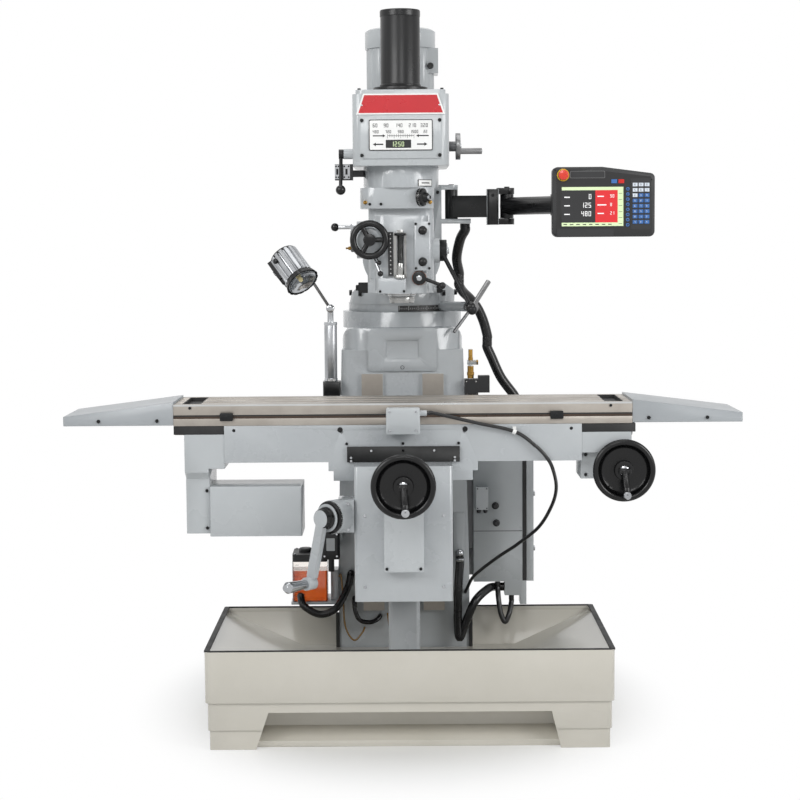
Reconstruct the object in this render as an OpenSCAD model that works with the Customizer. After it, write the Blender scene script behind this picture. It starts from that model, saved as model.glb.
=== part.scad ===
// Turret milling machine: column, knee, saddle, table, turret, ram and swivelling head.
// Millimetres. +X right, +Y back towards the column, +Z up.
// The origin is on the floor, at the centre of the column's four anchor bolts.

/* [Table] */
// Length of the table
table_length = 1270; // [1180:10:1300]
// Depth of the table, front to back
table_depth = 254; // [240:2:260]
// Thickness of the table
table_thickness = 60; // [52:1:66]
// Height of the table's top above the floor
table_top = 972; // [950:1:1000]
// Length of each sheet guard past the table's end
guard_length = 303; // [200:1:330]
// Width of a T-slot's mouth
slot_width = 16; // [12:1:18]

/* [Saddle and knee] */
// Length of the saddle
saddle_length = 990; // [900:10:1040]
// Height of the saddle's front panel
saddle_height = 103; // [90:1:110]
// Width of the knee
knee_width = 268; // [240:2:280]
// Height of the knee
knee_height = 371; // [330:1:390]
// Diameter of the two black handwheels
wheel_diameter = 174; // [150:2:190]
// Reach of the knee crank from its shaft to its grip
crank_reach = 196; // [160:1:205]

/* [Column and tray] */
// Width of the column at its shoulder
column_width = 366; // [340:2:380]
// Height of the column's shoulder
column_height = 1154; // [1130:1:1165]
// Distance from the way face back to the spindle's axis
throat = 383; // [360:1:400]
// Width of the drip tray
tray_width = 1146; // [1060:2:1180]
// Depth of the drip tray
tray_depth = 640; // [600:5:680]
// Height of the drip tray
tray_height = 280; // [250:2:300]
// Distance between the anchor bolts from left to right
anchor_x = 456; // [440:2:470]
// Distance between the anchor bolts from front to back
anchor_y = 800; // [780:5:830]

/* [Turret and ram] */
// Diameter of the round collar on the column
collar_diameter = 372; // [350:2:380]
// Width of the ram
ram_width = 200; // [180:2:210]
// Length of the ram
ram_length = 790; // [700:10:850]

/* [Head] */
// Height of the head's swivel axis above the column's shoulder
swivel_rise = 221; // [218:1:236]
// Width of the belt housing
housing_width = 264; // [240:2:276]
// Height of the belt housing
housing_height = 206; // [190:1:220]
// Diameter of the drive motor
motor_diameter = 190; // [170:2:200]
// Diameter of the quill
quill_diameter = 79; // [70:1:84]
// Diameter of the fine feed handwheel
feed_wheel_diameter = 108; // [90:2:116]

/* [Pendant] */
// Width of the pendant box
pendant_width = 288; // [250:2:300]
// Height of the pendant box
pendant_height = 197; // [170:1:210]

/* [Hidden] */
$fn = 96;
slide_gap = 0.3;
shaft_gap = 0.05;
tiny = 1;

cast_grey = [0.66, 0.69, 0.70];
sheet_grey = [0.70, 0.72, 0.73];
ground_steel = [0.62, 0.60, 0.57];
tray_beige = [0.76, 0.74, 0.70];
black = [0.10, 0.10, 0.10];
silver = [0.80, 0.80, 0.80];
red = [0.75, 0.10, 0.12];
white = [0.92, 0.92, 0.92];
amber = [0.85, 0.40, 0.10, 0.6];
brown = [0.45, 0.30, 0.18];

way_face = -80;
spindle_y = way_face - throat;
way_proud = 12;
knee_back = way_face - way_proud - slide_gap;

table_half = table_length / 2;
table_front = spindle_y - table_depth / 2;
table_back = spindle_y + table_depth / 2;
table_bottom = table_top - table_thickness;
slot_depth = 28;
slot_pitch = 64;

saddle_half = saddle_length / 2;
saddle_top = table_bottom - slide_gap;
saddle_bottom = saddle_top - saddle_height + slide_gap;
saddle_back = table_back + 6;

knee_half = knee_width / 2;
knee_front = -700;
knee_top = saddle_bottom - slide_gap;
knee_bottom = knee_top - knee_height;
wheel_radius = wheel_diameter / 2;
y_wheel_z = knee_top - 36.7;
y_wheel_y = -842;
crank_tilt = 40;
crank_x = -knee_half - 34;
crank_y = knee_front + 12;
crank_z = knee_top - 134;

x_wheel_x = saddle_half + 116;
x_wheel_z = table_top - 190;
x_wheel_y = -585;

tray_x = 14;
tray_front = -610;
tray_back = tray_front + tray_depth;
tray_left = tray_x - tray_width / 2;
tray_right = tray_x + tray_width / 2;
tray_wall = 8;
tray_sheet = 6;
tray_floor = 178;
recess_depth = 110;
basin_left = tray_left + 247;
basin_right = tray_right - 247;
basin_back = tray_back - 82;
notch_half = 208;
notch_front = way_face - 8;

foot_half = anchor_x / 2 + 24;
foot_front = -anchor_y / 2 - 45;
foot_back = anchor_y / 2 + 55;
foot_height = 60;
column_half = column_width / 2;
column_foot_half = column_half + 17;
turret_y = 180;
turret_base = column_height + 45;
swivel_height = column_height + swivel_rise;
screw_y = -330;
pedestal_top = 440;
screw_bottom = table_top - 797;

turret_radius = collar_diameter / 2 - 18;
ram_half = ram_width / 2;
ram_bottom = swivel_height - 92;
ram_top = swivel_height + 75;
ram_front = -230;
ram_back = ram_front + ram_length;
nod_y = -262;
swivel_face = -345;
star_x = 214;
star_y = -46;
star_z = ram_bottom - 67;

head_front = -97;
housing_half = housing_width / 2;
housing_bottom = 249;
housing_top = housing_bottom + housing_height;
housing_front = -137;
housing_back = 273;
motor_radius = motor_diameter / 2;
motor_y = 176;
quill_radius = quill_diameter / 2;
quill_bottom = -111;
casting_bottom = -101;
casting_top = 133;

shoulder_x = 149;
arm_y = -140;
arm_z = swivel_height + 143;
elbow_x = 314;
pendant_x = 572;
pendant_y = -400;
pendant_z = swivel_height + 149;
pendant_half = pendant_width / 2;
wrist_x = 456;
stop_x = pendant_x - 115;
stop_z = pendant_z + 76;
wrist_y = pendant_y + 58;

lamp_x = -216;
lamp_y = -96;
lamp_elbow_z = 1209;
lamp_tip = [-276, -128, 1312];
lamp_center = [-324, -157, 1337];
lamp_axis = [0.52, -0.52, -0.68];

// Points on a round stretch of an outline
function arc(x, y, r, from, to, n = 6) =
  [for (i = [0:n]) [x + r * cos(from + (to - from) * i / n), y + r * sin(from + (to - from) * i / n)]];

// Rectangle with four round corners
function rounded(x0, y0, x1, y1, r, n = 6) = concat(
  arc(x1 - r, y1 - r, r, 0, 90, n),
  arc(x0 + r, y1 - r, r, 90, 180, n),
  arc(x0 + r, y0 + r, r, 180, 270, n),
  arc(x1 - r, y0 + r, r, 270, 360, n));

// Rectangle whose two far corners are rounder than its two near ones
function arch(x0, y0, x1, y1, near, far) = concat(
  arc(x1 - far, y1 - far, far, 0, 90, 12),
  arc(x0 + far, y1 - far, far, 90, 180, 12),
  arc(x0 + near, y0 + near, near, 180, 270, 4),
  arc(x1 - near, y0 + near, near, 270, 360, 4));

function length_of(v) = sqrt(v * v);

function unit(v) = v / length_of(v);

module block(x0, x1, y0, y1, z0, z1)
  translate([x0, y0, z0])
    cube([x1 - x0, y1 - y0, z1 - z0]);

module rod_x(x0, x1, y, z, r)
  translate([x0, y, z])
    rotate([0, 90, 0])
      cylinder(h = x1 - x0, r = r);

module rod_y(y0, y1, x, z, r)
  translate([x, y1, z])
    rotate([90, 0, 0])
      cylinder(h = y1 - y0, r = r);

module rod_z(z0, z1, x, y, r)
  translate([x, y, z0])
    cylinder(h = z1 - z0, r = r);

// Outline in X and Y, raised along Z
module plan(z0, z1, points)
  translate([0, 0, z0])
    linear_extrude(z1 - z0)
      polygon(points);

// Outline in X and Z, seen from the front, running along Y
module front_shape(y0, y1, points)
  translate([0, y1, 0])
    rotate([90, 0, 0])
      linear_extrude(y1 - y0)
        polygon(points);

// Outline in Y and Z, seen from the side, running along X
module side_shape(x0, x1, points)
  translate([x0, 0, 0])
    rotate([90, 0, 90])
      linear_extrude(x1 - x0)
        polygon(points);

// Round bar between two points
module bar(from, to, r) {
  way = to - from;
  far = length_of(way);
  translate(from)
    rotate([0, acos(way[2] / far), atan2(way[1], way[0])])
      cylinder(h = far, r = r);
}

// Turns what is drawn along +Z so that it runs along a direction
module aim(at, way)
  translate(at)
    rotate([0, acos(way[2] / length_of(way)), atan2(way[1], way[0])])
      children();

// Swept cord: one closed tube through smoothed points
function mix(a, b, t) = a + (b - a) * t;

function curve_point(p, i, t) =
  let (
    n = len(p) - 1,
    a = p[max(i - 1, 0)],
    b = p[i],
    c = p[min(i + 1, n)],
    d = p[min(i + 2, n)])
  0.5 * (2 * b + (c - a) * t + (2 * a - 5 * b + 4 * c - d) * t * t
    + (3 * b - a - 3 * c + d) * t * t * t);

function curve(p, steps) = concat(
  [for (i = [0:len(p) - 2]) for (k = [0:steps - 1]) curve_point(p, i, k / steps)],
  [p[len(p) - 1]]);

function side_of(way, last) =
  let (flat = last - way * (last * way))
  unit(flat);

function sides_from(ways, i, last) =
  i >= len(ways) ? [] :
  let (now = side_of(ways[i], last))
  concat([now], sides_from(ways, i + 1, now));

function first_side(way) = abs(way[2]) > 0.9 ? cross(way, [1, 0, 0]) : cross(way, [0, 0, 1]);

module cord(points, r, steps = 4, sides = 8) {
  p = curve(points, steps);
  n = len(p);
  ways = [for (i = [0:n - 1]) unit(p[min(i + 1, n - 1)] - p[max(i - 1, 0)])];
  across = sides_from(ways, 0, unit(first_side(ways[0])));
  rings = [for (i = [0:n - 1]) for (k = [0:sides - 1])
    p[i] + r * (across[i] * cos(360 * k / sides) + cross(ways[i], across[i]) * sin(360 * k / sides))];
  walls = [for (i = [0:n - 2]) for (k = [0:sides - 1])
    let (a = i * sides + k, b = i * sides + (k + 1) % sides)
    each [[a, a + sides, b + sides], [a, b + sides, b]]];
  caps = concat(
    [for (k = [1:sides - 2]) [0, k, k + 1]],
    [for (k = [1:sides - 2]) [(n - 1) * sides, (n - 1) * sides + k + 1, (n - 1) * sides + k]]);
  polyhedron(points = rings, faces = concat(walls, caps));
}

// Drip tray
module tray_plan(inset)
  polygon(rounded(tray_left + inset, tray_front + inset, tray_right - inset, tray_back - inset,
    max(16 - inset, 3)));

module side_slope(sign) {
  wall = sign < 0 ? tray_left + tray_wall - 1 : tray_right - tray_wall + 1;
  foot = sign < 0 ? basin_left : basin_right;
  front_shape(tray_front + 4, tray_back - 4, [
    [wall, tray_height - 10],
    [wall, tray_height - 18],
    [foot, tray_floor - tray_sheet],
    [foot - sign * 14, tray_floor - tray_sheet],
    [foot - sign * 14, tray_floor],
    [foot, tray_floor]]);
}

module rear_slope()
  side_shape(tray_left + 4, tray_right - 4, [
    [tray_back - tray_wall + 1, tray_height - 10],
    [tray_back - tray_wall + 1, tray_height - 22],
    [basin_back, tray_floor - tray_sheet],
    [basin_back - 14, tray_floor - tray_sheet],
    [basin_back - 14, tray_floor],
    [basin_back, tray_floor]]);

// Front outline of the forklift pocket, grown by a wall
function recess_outline(wall) = [
  [-417 - wall, wall > 0 ? 0 : -tiny],
  [437 + wall, wall > 0 ? 0 : -tiny],
  [437 + wall, 2],
  [411 + wall, 106 + wall],
  [-382 - wall, 106 + wall],
  [-417 - wall, 2]];

module tray() color(tray_beige) {
  difference() {
    union() {
      difference() {
        union() {
          linear_extrude(57) tray_plan(12);
          translate([0, 0, 56]) linear_extrude(80) tray_plan(7);
          translate([0, 0, 135]) linear_extrude(tray_height - 135) tray_plan(0);
        }
        translate([0, 0, 134]) linear_extrude(tray_height) tray_plan(tray_wall);
        translate([0, 0, -1]) linear_extrude(160) tray_plan(18);
      }
      side_slope(-1);
      side_slope(1);
      rear_slope();
      block(basin_left + 2, basin_right - 2, tray_front + 4, basin_back + 2, tray_floor - tray_sheet, tray_floor);
      // Shell of the forklift pocket, cut open at the front below
      front_shape(tray_front + 13, tray_front + recess_depth + 6, recess_outline(6));
    }
    difference() {
      front_shape(tray_front - tiny, tray_front + recess_depth, recess_outline(0));
      side_shape(-460, 480, [
        [tray_front + 12, -2],
        [tray_front + recess_depth + 9, -2],
        [tray_front + recess_depth + 9, 44],
        [tray_front + recess_depth, 44],
        [tray_front + 12, 6]]);
    }
    block(-notch_half, notch_half, notch_front, tray_back + tiny, -tiny, tray_height + tiny);
    block(-foot_half - slide_gap, foot_half + slide_gap, notch_front, tray_back + tiny,
      -tiny, foot_height + slide_gap);
    front_shape(tray_front - tiny, tray_front + 40, recess_outline(0));
    block(-54, 54, screw_y - 60, screw_y + 60, tray_floor - 20, tray_floor + 20);
  }
}

module tray_trim() color(black) difference() {
  translate([0, 0, tray_height]) linear_extrude(4) tray_plan(0);
  translate([0, 0, tray_height - tiny]) linear_extrude(6) tray_plan(7);
  block(-notch_half, notch_half, notch_front, tray_back + tiny, tray_height - tiny, tray_height + 8);
}

// Half width of the column at a height
function column_side(z) =
  z < 420 ? column_foot_half :
  column_foot_half - (column_foot_half - column_half - 1) * (z - 420) / (column_height - 485);

// Column casting with its foot, ways and collar
module column_core() {
  intersection() {
    front_shape(way_face, 470, [
      [-column_foot_half - 6, 40],
      [column_foot_half + 6, 40],
      [column_foot_half, 110],
      [column_foot_half, 420],
      [column_half + 1, column_height - 65],
      [-column_half - 1, column_height - 65],
      [-column_foot_half, 420],
      [-column_foot_half, 110]]);
    side_shape(-300, 300, [
      [way_face, 40],
      [450, 40],
      [450, 300],
      [374, 900],
      [368, column_height - 65],
      [way_face, column_height - 65]]);
    plan(0, column_height, arch(-260, way_face, 260, 470, 20, 190));
  }
  intersection() {
    plan(column_height - 66, column_height, arch(-column_half, way_face, column_half, 368, 90, 170));
    front_shape(way_face, 400, concat(
      [[-column_half, column_height - 70], [column_half, column_height - 70]],
      arc(column_half - 34, column_height - 34, 34, 0, 90),
      arc(-column_half + 34, column_height - 34, 34, 90, 180)));
  }
}

module column_ways()
  for (side = [-1, 1])
    plan(knee_bottom - 147, table_top + 46, [
      [side * 59, way_face + tiny],
      [side * 59, way_face - way_proud],
      [side * 125, way_face - way_proud],
      [side * 116, way_face + tiny]]);

module column() color(cast_grey) difference() {
  union() {
    plan(0, foot_height, rounded(-foot_half, foot_front, foot_half, foot_back, 40));
    column_core();
    column_ways();
    rod_z(column_height - 6, turret_base, 0, turret_y, collar_diameter / 2);
    front_shape(way_face - 6, way_face + 4, rounded(-103, column_height - 130, 103, column_height - 4, 12));
  }
  // The hollow ends below the shoulder's flat top
  block(-column_half + 26, column_half - 26, way_face + 34, 330, -tiny, column_height - 92);
  front_shape(way_face - 8, way_face - 3.5, rounded(-50, column_height - 90, 50, column_height - 36, 5));
  for (x = [-1, 1])
    for (y = [-1, 1])
      rod_z(-tiny, foot_height + tiny, x * anchor_x / 2, y * anchor_y / 2, 9);
  rod_z(10, foot_height + tiny, 0, screw_y, 24);
}

module screw_pedestal() color(cast_grey) difference() {
  union() {
    plan(foot_height, foot_height + 24, rounded(-52, screw_y - 58, 52, screw_y + 58, 12));
    plan(foot_height + 20, pedestal_top - 60, rounded(-46, screw_y - 46, 46, screw_y + 46, 14));
    rod_z(pedestal_top - 62, pedestal_top, 0, screw_y, 42);
  }
  rod_z(foot_height - tiny, pedestal_top + tiny, 0, screw_y, 22 + shaft_gap);
}

// Electrical cabinet on the right of the column
cabinet_left = 214;
cabinet_right = 398;
cabinet_front = -60;
cabinet_back = 330;
cabinet_bottom = 373;
cabinet_top = 900;

module cabinet() color(sheet_grey) {
  difference() {
    block(cabinet_left, cabinet_right - 22, cabinet_front, cabinet_back, cabinet_bottom, cabinet_top);
    block(cabinet_left + 3, cabinet_right, cabinet_front + 3, cabinet_back - 3,
      cabinet_bottom + 3, cabinet_top - 3);
  }
  for (z = [cabinet_bottom + 60, cabinet_top - 90])
    block(column_side(z) + slide_gap, cabinet_left + 1, 20, 220, z, z + 30);
  block(cabinet_right - 42, cabinet_right - 22, cabinet_front, cabinet_front + 60, 302, cabinet_bottom + 1);
  block(309, cabinet_right - 42, cabinet_front, cabinet_front + 60, 330, cabinet_bottom + 1);
}

module cabinet_door() color(sheet_grey) {
  difference() {
    block(cabinet_right - 21.5, cabinet_right, cabinet_front, cabinet_back, cabinet_bottom + 2, cabinet_top);
    block(cabinet_right - 22, cabinet_right - 3, cabinet_front + 3, cabinet_back - 3,
      cabinet_bottom + 5, cabinet_top - 3);
  }
  rod_z(cabinet_bottom + 40, cabinet_top - 40, cabinet_right - 6, cabinet_back + 3, 6);
}

// Oil reservoir, lubricator and limit switch beside the column
module reservoir() color(amber) difference() {
  union() {
    plan(330, 452, rounded(-338, -140, -232, -20, 12));
    plan(452, 474, rounded(-330, -132, -240, -28, 12));
    rod_z(474, 486, -300, -80, 20);
  }
  plan(334, 448, rounded(-334, -136, -236, -24, 9));
}

module service_fittings() color(sheet_grey) {
  plan(322, 330, rounded(-342, -144, -column_foot_half - slide_gap, -10, 4));
  block(-column_foot_half - 23, -column_foot_half - slide_gap, -100, -40, 322, 420);
  block(-212, -185, -150, way_face - slide_gap, 520, 560);
  rod_y(-118, way_face - slide_gap, 170, 470, 9);
  block(152, 186, way_face - 6, way_face - slide_gap, 460, 590);
  plan(950, 1000, rounded(column_side(950) + slide_gap, -110, 228, -66, 5));
  rod_z(999, 1040, 206, -88, 9);
  rod_x(196, 226, -88, 1050, 7);
  rod_z(1038, 1090, 206, -88, 6);
}

module limit_switch() color(black) {
  plan(470, 556, rounded(-245, -205, -192, -150.3, 8));
  rod_z(430, 470, -218, -178, 9);
  rod_z(556, 580, -218, -178, 14);
  block(228.3, 262, -110, -74, 960, 1010);
  block(222, 258, cabinet_front - 26, cabinet_front, 600, 668);
}

// Knee and what it carries
module knee() color(cast_grey) difference() {
  union() {
    plan(knee_bottom, knee_top, rounded(-knee_half, knee_front, knee_half, knee_back, 10));
    plan(knee_bottom + 40, knee_top - 60, rounded(-138, knee_back - 70, 138, way_face - 0.6, 4));
  }
  // Room for the column's ways, front edge to root
  plan(knee_bottom - tiny, knee_top + tiny, [
    [-126, knee_back - slide_gap],
    [126, knee_back - slide_gap],
    [126, knee_back + 0.02],
    [116.6, way_face + tiny],
    [-116.6, way_face + tiny],
    [-126, knee_back + 0.02]]);
  // Hollow, open below
  block(-knee_half + 20, knee_half - 20, knee_front + 22, knee_back - 34, knee_bottom - tiny, knee_top - 96);
  rod_z(knee_top - 100, knee_top - 40, 0, screw_y, 20 + shaft_gap);
  rod_y(knee_front - tiny, knee_front + 60, 0, y_wheel_z, 14);
}

module knee_cover() color(sheet_grey) difference() {
  union() {
    front_shape(knee_front - 35, knee_front, rounded(-53, knee_bottom + 87, 55, knee_top - 3, 4));
    rod_y(knee_front - 96, knee_front - 34, 0, y_wheel_z, 34);
    rod_y(knee_front - 118.6, knee_front - 94, 0, y_wheel_z, 27);
  }
  rod_y(knee_front - 121, knee_front + tiny, 0, y_wheel_z, 10 + shaft_gap);
}

// The crank's shaft leans out to the left
module on_crank(along = 0)
  translate([crank_x, crank_y, crank_z])
    rotate([0, 0, -crank_tilt])
      translate([0, -along, 0])
        children();

module crank_housing() {
  color(sheet_grey) difference() {
    union() {
      on_crank() rod_y(-46, -4, 0, 0, 46);
      block(crank_x - 10, -knee_half, crank_y - 22, crank_y + 70, crank_z - 44, crank_z + 44);
      on_crank() rod_y(-62, -46, 0, 0, 38);
    }
    on_crank() rod_y(-100, 60, 0, 0, 10 + shaft_gap);
  }
}

module knee_crank() color(cast_grey) {
  on_crank() rod_y(-64, 30, 0, 0, 10);
  on_crank() rod_y(-88, -62.4, 0, 0, 24);
  on_crank(78) rotate([0, 14, 0]) {
    front_shape(-9, 9, rounded(-13, -crank_reach + 24, 13, 10, 6));
    rod_y(-22, 9, 0, -crank_reach + 10, 18);
  }
}

module knee_crank_grip() color(silver)
  on_crank(78) rotate([0, 14, 0]) difference() {
    rotate([90, 0, 0]) translate([0, -crank_reach + 10, 22.4]) {
      cylinder(h = 70, r1 = 12, r2 = 16);
      translate([0, 0, 70]) cylinder(h = 10, r1 = 16, r2 = 9);
    }
  }

module knee_screw() color(ground_steel) {
  rod_z(screw_bottom, knee_top - 104, 0, screw_y, 22);
  rod_z(knee_top - 105, knee_top - 42, 0, screw_y, 20);
  rod_z(knee_top - 112, knee_top - 96.4, 0, screw_y, 40);
}

// Dished black handwheel, drawn at its hub with the front towards -Y
module handwheel(shaft) {
  rotate([90, 0, 0])
    rotate_extrude()
      polygon(concat(
        [[0, -shaft], [10, -shaft], [10, -2], [26, -2], [26, 4],
         [wheel_radius - 22, 8], [wheel_radius - 16, 14]],
        arc(wheel_radius - 9, 20, 9, -160, -40, 6),
        arc(wheel_radius - 9, 20, 9, -20, 160, 9),
        [[wheel_radius - 21, 18], [wheel_radius - 26, 14], [28, 10], [26, 26], [0, 26]]));
  // Ears on both sides of the folding handle's root
  for (side = [-1, 1])
    translate([side * 13.8, -29, 0])
      cube([5, 30, 16], center = true);
}

// Folding handle: a boss at the hub, a taper handle and a silver end
module folding_handle() {
  rod_x(-11, 11, -36, 0, 8);
  bar([0, -36, -2], [4, -46, -46], 9);
  bar([4, -46, -46], [5, -50, -66], 10);
}

module y_handwheel() color(black)
  translate([0, y_wheel_y + 21, y_wheel_z]) handwheel(110);

module y_handle() color(black)
  translate([0, y_wheel_y + 21, y_wheel_z]) folding_handle();

// Saddle, wiper and drives
module saddle() color(cast_grey) difference() {
  union() {
    front_shape(table_front, saddle_back, [
      [-saddle_half, saddle_top],
      [-saddle_half, saddle_bottom],
      [-207, saddle_bottom],
      [-207, saddle_bottom - 25],
      [-193, saddle_bottom - 25],
      [-193, saddle_bottom - 52],
      [-knee_half - slide_gap, saddle_bottom - 52],
      [-knee_half - slide_gap, saddle_bottom],
      [knee_half + slide_gap, saddle_bottom],
      [knee_half + slide_gap, saddle_bottom - 52],
      [193, saddle_bottom - 52],
      [193, saddle_bottom - 25],
      [207, saddle_bottom - 25],
      [207, saddle_bottom],
      [saddle_half, saddle_bottom],
      [saddle_half, saddle_top]]);
  }
  // Channel for the table's way
  side_shape(-saddle_half - tiny, saddle_half + tiny, [
    [spindle_y - 88, saddle_top + tiny],
    [spindle_y - 88, saddle_top],
    [spindle_y - 96, saddle_top - 30],
    [spindle_y + 96, saddle_top - 30],
    [spindle_y + 88, saddle_top],
    [spindle_y + 88, saddle_top + tiny]]);
  for (side = [-1, 1])
    rod_y(table_front - tiny, table_front + 6, side * 170, table_top - 79, 4.5);
}

module saddle_wiper() color(black) {
  block(-155, 157, table_front - 8, table_front, saddle_bottom, saddle_bottom + 43);
  for (side = [-1, 1])
    block(side > 0 ? saddle_half : -table_half, side > 0 ? table_half + 9 : -saddle_half,
      table_front + 2, spindle_y - 98, table_bottom - 24, table_bottom - slide_gap);
}

module limit_box() color(sheet_grey) {
  front_shape(table_front - 46, table_front - 10.4, rounded(-46, table_top - 82, 47, table_top - 10, 5));
  block(-40, 40, table_front - 12, table_front, table_top - 80, table_bottom - 2);
  rod_x(47, 66, table_front - 24, table_top - 26, 8);
}

// Side outline of a drive housing under the table's end, its top stepped round the table's way
function drive_outline(drop) = [
  [table_front + (drop > 200 ? 30 : 2), table_bottom - drop],
  [spindle_y + 103, table_bottom - drop],
  [spindle_y + 103, table_bottom - 31],
  [spindle_y - 98, table_bottom - 31],
  [spindle_y - 98, table_bottom - 24],
  [table_front + 2, table_bottom - 24],
  [table_front + 2, table_bottom - min(drop, 130)],
  [table_front + (drop > 200 ? 30 : 2), table_bottom - min(drop, 150)]];

module x_drive_cover() color(sheet_grey) {
  side_shape(-saddle_half - 111, -saddle_half - 45, drive_outline(305));
  side_shape(-saddle_half - 45, -saddle_half, drive_outline(120));
}

module x_motor() color(sheet_grey)
  plan(table_top - 372, table_top - 232, rounded(-saddle_half - 45, spindle_y - 107, -saddle_half + 212,
    spindle_y + 46, 5));

module x_drive_block() {
  color(sheet_grey) difference() {
    union() {
      side_shape(saddle_half, saddle_half + 138, drive_outline(81));
      block(saddle_half, saddle_half + 145, x_wheel_y + 21, x_wheel_y + 165,
        table_bottom - 157, table_bottom - 81);
      rod_y(x_wheel_y + 2.4, x_wheel_y + 22, x_wheel_x, x_wheel_z, 30);
    }
    rod_y(x_wheel_y, x_wheel_y + 120, x_wheel_x, x_wheel_z, 10 + shaft_gap);
  }
}

module x_handwheel() color(black)
  translate([x_wheel_x, x_wheel_y, x_wheel_z]) handwheel(90);

module x_handle() color(black)
  translate([x_wheel_x, x_wheel_y, x_wheel_z]) folding_handle();

// Table and what it carries
module table() color(ground_steel) difference() {
  union() {
    block(-table_half, table_half, table_front, table_back, table_bottom, table_top);
    side_shape(-table_half, table_half, [
      [spindle_y - 88 + slide_gap, table_bottom + tiny],
      [spindle_y - 88 + slide_gap, table_bottom],
      [spindle_y - 94.8, table_bottom - 28],
      [spindle_y + 94.8, table_bottom - 28],
      [spindle_y + 88 - slide_gap, table_bottom],
      [spindle_y + 88 - slide_gap, table_bottom + tiny]]);
  }
  for (slot = [-1, 0, 1])
    side_shape(-table_half - tiny, table_half + tiny, [
      [spindle_y + slot * slot_pitch - slot_width / 2, table_top + tiny],
      [spindle_y + slot * slot_pitch - slot_width / 2, table_top - 16],
      [spindle_y + slot * slot_pitch - slot_width / 2 - 6, table_top - 16],
      [spindle_y + slot * slot_pitch - slot_width / 2 - 6, table_top - slot_depth],
      [spindle_y + slot * slot_pitch + slot_width / 2 + 6, table_top - slot_depth],
      [spindle_y + slot * slot_pitch + slot_width / 2 + 6, table_top - 16],
      [spindle_y + slot * slot_pitch + slot_width / 2, table_top - 16],
      [spindle_y + slot * slot_pitch + slot_width / 2, table_top + tiny]]);
  for (side = [-1, 1])
    block(side * (table_half - 49) - 26, side * (table_half - 49) + 26,
      table_front + 16, table_back - 16, table_top - 12, table_top + tiny);
  // Groove for the trip dogs
  block(-table_half - tiny, table_half + tiny, table_front - tiny, table_front + 10,
    table_top - 40, table_top - 30);
}

module end_guards() color(sheet_grey)
  for (side = [-1, 1])
    mirror([side < 0 ? 1 : 0, 0, 0]) difference() {
      front_shape(table_front, table_back, [
        [table_half + 0.2, table_bottom + 2],
        [table_half + 2 + guard_length, table_bottom + 2],
        [table_half + 2 + guard_length, table_bottom + 28],
        [table_half + 0.2, table_top + 6]]);
      front_shape(table_front + 2.5, table_back - 2.5, [
        [table_half + 3, table_bottom],
        [table_half - 0.5 + guard_length, table_bottom],
        [table_half - 0.5 + guard_length, table_bottom + 26],
        [table_half + 3, table_top + 2.5]]);
    }

module trip_dogs() color(black)
  for (x = [-0.768, 0.67])
    front_shape(table_front - 9, table_front, rounded(x * table_half - 18, table_top - 46,
      x * table_half + 18, table_top - 24, 3));

// Turret, ram and ram handle
module on_star() aim([star_x, star_y, star_z], [0.64, -0.77, 0]) children();

module turret() color(cast_grey) difference() {
  union() {
    rod_z(turret_base + slide_gap, turret_base + 26, 0, turret_y, turret_radius);
    intersection() {
      front_shape(turret_y - 180, turret_y + 180, [
        [-turret_radius + 4, turret_base + 24],
        [turret_radius - 4, turret_base + 24],
        [turret_radius - 4, ram_bottom - 20],
        [ram_half + 36, ram_bottom - slide_gap],
        [-ram_half - 30, ram_bottom - slide_gap],
        [-turret_radius + 12, ram_bottom - 26]]);
      rod_z(turret_base, ram_top, 0, turret_y, turret_radius + 6);
    }
    on_star() rod_z(-160, -24, 0, 0, 15);
  }
  front_shape(turret_y - 200, turret_y + 200, [
    [-62 - slide_gap, ram_bottom + tiny],
    [-75 - slide_gap, ram_bottom - 20 - slide_gap],
    [75 + slide_gap, ram_bottom - 20 - slide_gap],
    [62 + slide_gap, ram_bottom + tiny]]);
  on_star() rod_z(-84, -20, 0, 0, 9 + shaft_gap);
}

module ram_handle() color(silver) {
  on_star() rod_z(-80, 4, 0, 0, 9);
  on_star() rod_z(-23.6, 12, 0, 0, 15);
  bar([star_x, star_y, star_z], [star_x - 58, star_y - 48, star_z - 74], 5);
  bar([star_x + 6, star_y + 5, star_z + 9], [star_x + 51, star_y + 42, star_z + 76], 8);
}

module ram() color(cast_grey) difference() {
  union() {
    front_shape(ram_front, ram_back, concat(
      [[-62, ram_bottom], [-ram_half, ram_bottom]],
      arc(-ram_half + 14, ram_top - 14, 14, 180, 90),
      arc(ram_half - 14, ram_top - 14, 14, 90, 0),
      [[ram_half, ram_bottom], [62, ram_bottom], [75, ram_bottom - 20], [-75, ram_bottom - 20]]));
    for (side = [-1, 1]) {
      rod_x(side > 0 ? 70 : -100, side > 0 ? 100 : -70, nod_y, swivel_height, 55);
      block(side > 0 ? 70 : -100, side > 0 ? 100 : -70, nod_y, ram_front + tiny,
        swivel_height - 55, swivel_height + 55);
    }
    // Bracket for the pendant's arm
    block(ram_half - tiny, 119, arm_y - 28, arm_y + 28, swivel_height + 20, arm_z + 64);
    block(96, 119, arm_y - 28, arm_y + 28, swivel_height + 60, arm_z + 64);
    block(118, 206, arm_y - 20, arm_y + 42, arm_z - 50, arm_z - 36);
    block(118, shoulder_x + 4, arm_y - 20, arm_y + 20, arm_z + 50, arm_z + 64);
    rod_z(arm_z - 50, arm_z - 36, shoulder_x, arm_y, 20);
    rod_z(arm_z + 50, arm_z + 64, shoulder_x, arm_y, 20);
  }
  rod_x(-101, 101, nod_y, swivel_height, 22 + shaft_gap);
  rod_x(-70, 70, nod_y, swivel_height, 55.5);
  rod_z(arm_z - 50, arm_z + 70, shoulder_x, arm_y, 8 + shaft_gap);
}

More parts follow.
